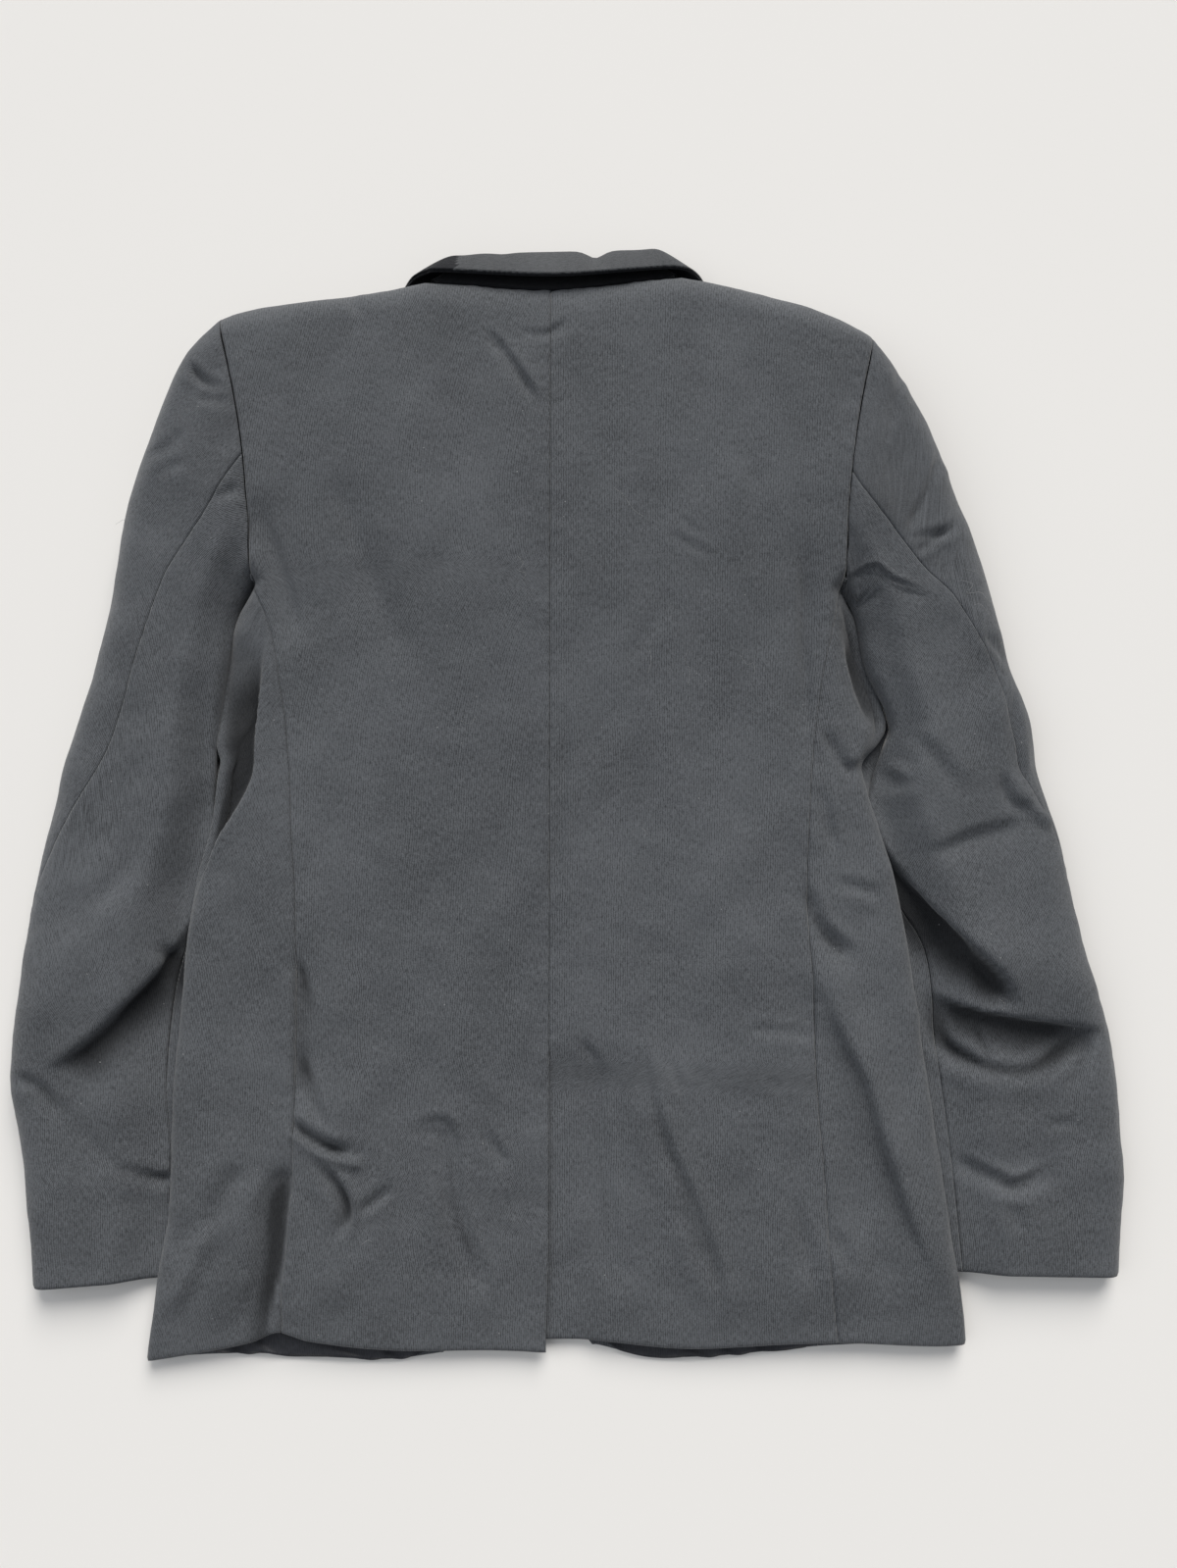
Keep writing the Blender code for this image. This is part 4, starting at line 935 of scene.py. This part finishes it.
for side in ("left", "right"):
    title = side.title()
    clothPiece("back" + title, "back_" + side, (104, 330), panelFace(side, "back"),
               body["backWall"], foldedCloth(bodyCloth, 1, (1.0, 1.0, "edge", 1.0)))
    clothPiece("side" + title, "side_" + side, (80, 200), sidePanelFace(side),
               body["wall"], foldedCloth(bodyCloth, 2, (1.0, 1.0, "edge", 1.0)), (0.0, 0.2))
    buttoned = ("edge", 1.0) if side == "left" else (1.0, "edge")
    clothPiece("front" + title, "front_" + side, (48, 150), panelFace(side, "front"),
               body["wall"], foldedCloth(bodyCloth, 3, buttoned + ("edge", 1.0)))
print("body panels ready")

for side in ("left", "right"):
    title = side.title()
    for kind, columns, seams in (("under", 56, (1.0, 0.3)), ("top", 130, (0.3, 1.0))):
        # the forearm seam is flatter than the hind-arm seam
        seams = seams[::-1] if side == "left" else seams
        clothPiece(kind + "Sleeve" + title, kind + "_sleeve_" + side, (columns, 230),
                   sleeveFace(side, kind), body["wall"],
                   foldedCloth(sleeveCloth(side), 4, seams + (1.0, "edge")))
print("sleeves ready")


def collarFace(offset):
    def face(across, along):
        points = collarMiddle(across, along)
        points = points + gridNormals(points) * offset
        return points[..., 0], points[..., 1], points[..., 2]
    return face


def plainRelief(points, normals):
    return 0.0 * points[..., 0], 0.0 * points[..., 0]


for layer, offset in (("upper", body["layerGap"] / 2.0 + collar["wall"]),
                      ("under", -body["layerGap"] / 2.0)):
    clothPiece(layer + "Collar", layer + "_collar", (48, 200), collarFace(offset),
               collar["wall"], plainRelief, (0.0, 0.3))


def lapelFace(side):
    foot, top = lapels[side]["y"][[0, -1]]

    def face(across, along):
        across = 1.0 - across if side == "right" else across
        y = lerp(foot, top, along)
        return (lerp(readCurve(lapels[side], "roll", y), readCurve(lapels[side], "outer", y),
                     across), y, 0.0 * y)
    return face


linings = {"left": (-232.0, -84.0), "right": (22.0, 170.0), "height": 60.0, "wall": 0.8,
           "level": 2.4}


def liningFace(side):
    start, end = linings[side]

    def face(across, along):
        x = lerp(start, end, across)
        hemY = readCurve(frontHem[side], "y", x) + 0.6
        rumple = np.sin(x / 5.1 + 2.3 * np.sin(x / 17.0) + 22.0 * along) * np.exp(-along * 1.6)
        ends = smooth((x - start) / 14.0) * smooth((end - x) / 14.0)
        level = bottomHeight(side, x, hemY + linings["height"] * along) + linings["level"]
        return (x, hemY + linings["height"] * along + 1.1 * rumple + 3.0 * (1.0 - ends),
                level + ends * (1.3 + 1.2 * rumple))
    return face


for side in ("left", "right"):
    title = side.title()
    clothPiece("lapel" + title, "lapel_" + side, (24, 50), lapelFace(side),
               body["solidWall"], plainRelief)
    clothPiece("lining" + title, "lining_" + side, (90, 24), liningFace(side),
               linings["wall"], plainRelief)
print("collar, lapels and lining ready")


# loose hairs and threads that lie on the cloth: piece, points, thickness
hairs = [
    ("backLeft", (-32, 151, -28, 146, -31, 141, -26, 139, -29, 134), 0.16),
    ("backLeft", (-112, 300, -108, 295, -110, 290, -106, 287), 0.14),
    ("backRight", (33, 198, 40, 192, 46, 183, 53, 178), 0.15),
    ("backRight", (57, 88, 58, 80, 56, 72), 0.18),
    ("backRight", (83, 88, 81, 81, 84, 74, 83, 65), 0.15),
    ("backRight", (118, 84, 123, 78, 127, 79, 128, 72), 0.15),
    ("underSleeveRight", (266, 134, 274, 131, 270, 125, 279, 126, 284, 121), 0.16),
    ("topSleeveRight", (268, 142, 279, 140, 288, 134, 293, 126), 0.14),
    ("underSleeveRight", (262, 120, 270, 116, 279, 118, 285, 111), 0.14),
    ("backLeft", (-131, -302, -127, -299, -124, -300), 0.2),
    ("backRight", (52, -32, 54, -35, 53, -38), 0.2),
    ("underSleeveRight", (286, -144, 289, -148, 287, -152), 0.2),
    ("topSleeveLeft", (-310, 178, -305, 181, -300, 178), 0.15),
    ("backLeft", (-70, 40, -63, 38, -60, 43), 0.14),
    ("backLeft", (-140, 220, -136, 214, -138, 209), 0.14),
]


def onCloth(points, x, y):
    # the height of the cloth at a place, from the grid points nearest to it
    away = np.hypot(points[:, 0] - x, points[:, 1] - y)
    nearest = np.argsort(away)[:4]
    weight = 1.0 / (away[nearest] + 0.05)
    return float((points[nearest, 2] * weight).sum() / weight.sum())


def addHairs():
    lint = bmesh.new()
    for name, points, thickness in hairs:
        line = resample(points, 22)
        for k in range(len(line) - 1):
            ends = [Vector((x, y, onCloth(surfaces[name], x, y) + 0.5 * thickness))
                    for x, y in line[k:k + 2]]
            run = ends[1] - ends[0]
            strand = bmesh.ops.create_cone(lint, segments=5, radius1=thickness / 2 * mm,
                                           radius2=thickness / 2 * mm, depth=run.length * mm,
                                           cap_ends=True)
            turn = run.to_track_quat("Z", "Y").to_matrix()
            middle = (ends[0] + ends[1]) / 2.0
            for corner in strand["verts"]:
                corner.co = turn @ corner.co + Vector((
                    middle.x - tableMiddle[0], middle.y - tableMiddle[1], middle.z)) * mm
    addPiece("lintHairs", lint, [])


addHairs()


def newMaterial(name):
    material = bpy.data.materials.new(name)
    material.use_nodes = True
    tree = material.node_tree
    return material, tree, tree.nodes["Principled BSDF"]


def addNode(tree, kind, settings=None, inputs=None):
    node = tree.nodes.new(kind)
    for key, value in (settings or {}).items():
        setattr(node, key, value)
    for key, value in (inputs or {}).items():
        if hasattr(value, "is_linked"):
            tree.links.new(value, node.inputs[key])
        else:
            node.inputs[key].default_value = value
    return node


def addMath(tree, operation, *values):
    return addNode(tree, "ShaderNodeMath", {"operation": operation},
                   dict(enumerate(values))).outputs[0]


def addNoise(tree, vector, scale, detail, roughness=0.5, distortion=0.0):
    return addNode(tree, "ShaderNodeTexNoise", inputs={
        "Vector": vector, "Scale": scale, "Detail": detail, "Roughness": roughness,
        "Distortion": distortion}).outputs["Fac"]


def addMix(tree, share, first, second):
    # a colour mix's sockets are 0 for the share, and 6 and 7 for the colours
    return addNode(tree, "ShaderNodeMix", {"data_type": "RGBA"},
                   {0: share, 6: first, 7: second}).outputs[2]


# colours of the darkest and palest threads, how strongly painted shade darkens the folds, and how
# strongly lint shows
wools = {
    "charcoalWool": {"dark": (0.033, 0.035, 0.038, 1), "light": (0.119, 0.125, 0.135, 1),
                     "roughness": 0.88, "sheen": 0.2, "bump": 0.8, "paintedFoldShadeStrength": 0.82,
                     "lint": 0.5},
    # the collar is the body's wool painted darker: painted shade for how its upturned nap meets
    # the light
    "collarWoolPaintedShade": {"dark": (0.020, 0.021, 0.023, 1), "light": (0.080, 0.083, 0.088, 1),
                   "roughness": 0.9, "sheen": 0.2, "bump": 0.9, "paintedFoldShadeStrength": 0.0, "lint": 0.2},
    "collarFelt": {"dark": (0.004, 0.0045, 0.006, 1), "light": (0.012, 0.013, 0.016, 1),
                   "roughness": 0.95, "sheen": 0.1, "bump": 0.7, "paintedFoldShadeStrength": 0.0, "lint": 0.1},
    "liningSatin": {"dark": (0.018, 0.019, 0.022, 1), "light": (0.044, 0.045, 0.052, 1),
                    "roughness": 0.42, "sheen": 0.0, "bump": 0.1, "paintedFoldShadeStrength": 0.0,
                    "lint": 0.0},
}
weave = {"threads": (1150, 260, 1), "ribs": 280.0, "heather": 1000.0, "patches": 14.0,
         "ribShare": 0.35, "heatherShare": 0.6, "patchShare": 0.35, "palest": (0.88, 1.3),
         "bumpDepth": 0.0004}
lint = {"cells": 190.0, "rarity": 0.86, "radius": 0.075, "colour": (0.42, 0.42, 0.41, 1)}
# the near-black colour of the painted shade deep in folds
deepShade = (0.004, 0.0042, 0.005, 1)


def clothMaterial(name):
    settings = wools[name]
    material, tree, shader = newMaterial(name)
    along = addNode(tree, "ShaderNodeUVMap", {"uv_map": "weave"}).outputs[0]
    place = addNode(tree, "ShaderNodeTexCoord").outputs["Object"]
    threads = addNode(tree, "ShaderNodeMapping", inputs={"Vector": along,
                                                         "Scale": weave["threads"]})
    grain = addNoise(tree, threads.outputs[0], 1.0, 3.0, 0.6)
    rib = addNode(tree, "ShaderNodeTexWave", {"wave_type": "BANDS", "bands_direction": "X"}, {
        "Vector": along, "Scale": weave["ribs"], "Distortion": 1.2, "Detail": 2.0,
        "Detail Scale": 3.0})
    heather = addNoise(tree, place, weave["heather"], 2.0, 0.7)
    patches = addNoise(tree, place, weave["patches"], 3.0, 0.55)
    woven = addMath(tree, "MULTIPLY_ADD", rib.outputs["Fac"], weave["ribShare"], grain)
    mixed = addMath(tree, "MULTIPLY_ADD", heather, weave["heatherShare"], woven)
    toned = addMath(tree, "MULTIPLY_ADD", patches, weave["patchShare"], mixed)
    share = addNode(tree, "ShaderNodeMapRange", inputs={
        "Value": toned, "From Min": weave["palest"][0], "From Max": weave["palest"][1]})
    colour = addMix(tree, share.outputs[0], settings["dark"], settings["light"])
    # painted shade darkens cloth deep in a fold, and specks of lint are paler
    foldDepthAndPaintedShade = addNode(tree, "ShaderNodeAttribute", {"attribute_name": "foldDepthAndPaintedShade"})
    depth = addMath(tree, "MULTIPLY", foldDepthAndPaintedShade.outputs["Fac"], settings["paintedFoldShadeStrength"])
    shaded = addMix(tree, depth, colour, deepShade)
    cells = addNode(tree, "ShaderNodeTexVoronoi", inputs={"Vector": place,
                                                          "Scale": lint["cells"]})
    chosen = addMath(tree, "GREATER_THAN", cells.outputs["Color"], lint["rarity"])
    close = addMath(tree, "LESS_THAN", cells.outputs["Distance"], lint["radius"])
    speck = addMath(tree, "MULTIPLY", addMath(tree, "MULTIPLY", chosen, close), settings["lint"])
    tree.links.new(addMix(tree, speck, shaded, lint["colour"]), shader.inputs["Base Color"])
    bump = addNode(tree, "ShaderNodeBump", inputs={
        "Strength": settings["bump"], "Distance": weave["bumpDepth"], "Height": mixed})
    tree.links.new(bump.outputs[0], shader.inputs["Normal"])
    for key, value in (("Roughness", settings["roughness"]), ("Sheen Weight", settings["sheen"]),
                       ("Sheen Roughness", 0.45), ("Specular IOR Level", 0.25)):
        shader.inputs[key].default_value = value
    return material


def cloudedMaterial(name, roughness, dark, light, scale, detail, distortion):
    material, tree, shader = newMaterial(name)
    place = addNode(tree, "ShaderNodeTexCoord").outputs["Object"]
    clouds = addNoise(tree, place, scale, detail, distortion=distortion)
    tree.links.new(addMix(tree, clouds, dark, light), shader.inputs["Base Color"])
    shader.inputs["Roughness"].default_value = roughness
    return material


finishes = {name: clothMaterial(name) for name in wools}
finishes["paleLint"], _, hairShader = newMaterial("paleLint")
hairShader.inputs["Base Color"].default_value = (0.30, 0.30, 0.30, 1)
hairShader.inputs["Roughness"].default_value = 0.8
for name, piece in pieces.items():
    finish, slot = "charcoalWool", "cloth"
    if name == "underCollar":
        finish, slot = "collarFelt", "felt"
    elif name.startswith("lining"):
        finish, slot = "liningSatin", "lining"
    elif name == "lintHairs":
        finish, slot = "paleLint", None
    # the upper collar takes the darker copy of the wool as painted shade
    elif name == "upperCollar":
        finish = "collarWoolPaintedShade"
    piece.data.materials.append(finishes[finish])

feltEnd = (-76.0, 349.0)  # the collar's left end is rolled felt side up
upperCollar = pieces["upperCollar"].data
upperCollar.materials.append(finishes["collarFelt"])
for patch in upperCollar.polygons:
    centre = patch.center / mm
    patch.material_index = int(centre.x < feltEnd[0] and centre.y > feltEnd[1])

horn = cloudedMaterial("darkHorn", 0.35, (0.010, 0.009, 0.008, 1), (0.032, 0.027, 0.022, 1),
                       160.0, 4.0, 1.5)
for node in ("button_upper", "button_lower"):
    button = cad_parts[node]
    button.data.materials.clear()
    button.data.materials.append(horn)
print("materials ready")

studio = {
    "floor": (0.84, 0.815, 0.785, 1),
    "floorShade": 0.985,
    "world": (0.90, 0.94, 1.0, 1),
    "worldStrength": 0.27,
    "cameraPlace": (0.01567, -0.08392, 0.8076),
    "cameraTilt": 6.0,
    "lens": 36.09,
}
floorShape = bmesh.new()
bmesh.ops.create_grid(floorShape, x_segments=1, y_segments=1, size=3.0)
floorMesh = bpy.data.meshes.new("floor")
floorShape.to_mesh(floorMesh)
floorShape.free()
floor = bpy.data.objects.new("floor", floorMesh)
floor.location.z = -0.0002
bpy.context.scene.collection.objects.link(floor)
shadedFloor = tuple(studio["floorShade"] * c for c in studio["floor"][:3]) + (1,)
floorMesh.materials.append(cloudedMaterial("paleFloor", 0.9, shadedFloor, studio["floor"],
                                           3.0, 3.0, 0.0))
floor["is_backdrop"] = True

world = bpy.data.worlds.new("studioWorld")
world.use_nodes = True
sky = world.node_tree.nodes["Background"]
sky.inputs["Color"].default_value = studio["world"]
sky.inputs["Strength"].default_value = studio["worldStrength"]
bpy.context.scene.world = world


def addLight(name, place, softness, power, colour):
    # a broad far light that shines from its place towards the middle
    light = bpy.data.lights.new(name, "SUN")
    light.angle = math.radians(softness)
    light.energy = power
    light.color = colour
    lamp = bpy.data.objects.new(name, light)
    lamp.location = place
    lamp.rotation_euler = (-Vector(place)).to_track_quat("-Z", "Y").to_euler()
    bpy.context.scene.collection.objects.link(lamp)


addLight("windowLight", (0.5, 2.4, 1.75), 38, 3.05, (1.0, 0.985, 0.955))
addLight("skyLight", (-2.0, 0.3, 2.2), 60, 0.8, (0.92, 0.96, 1.0))

camera = bpy.data.objects.new("camera", bpy.data.cameras.new("camera"))
camera.data.sensor_fit = "HORIZONTAL"
camera.data.sensor_width = 36.0
camera.data.lens = studio["lens"]
camera.data.clip_start = 0.01
camera.location = studio["cameraPlace"]
camera.rotation_euler = (math.radians(studio["cameraTilt"]), 0.0, 0.0)
bpy.context.scene.collection.objects.link(camera)
bpy.context.scene.camera = camera
bpy.context.scene.view_settings.view_transform = "Standard"
print("studio ready")

({"cad": [list(corner) for corner in cadBounds],
           "visual": [list(corner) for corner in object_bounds()]})
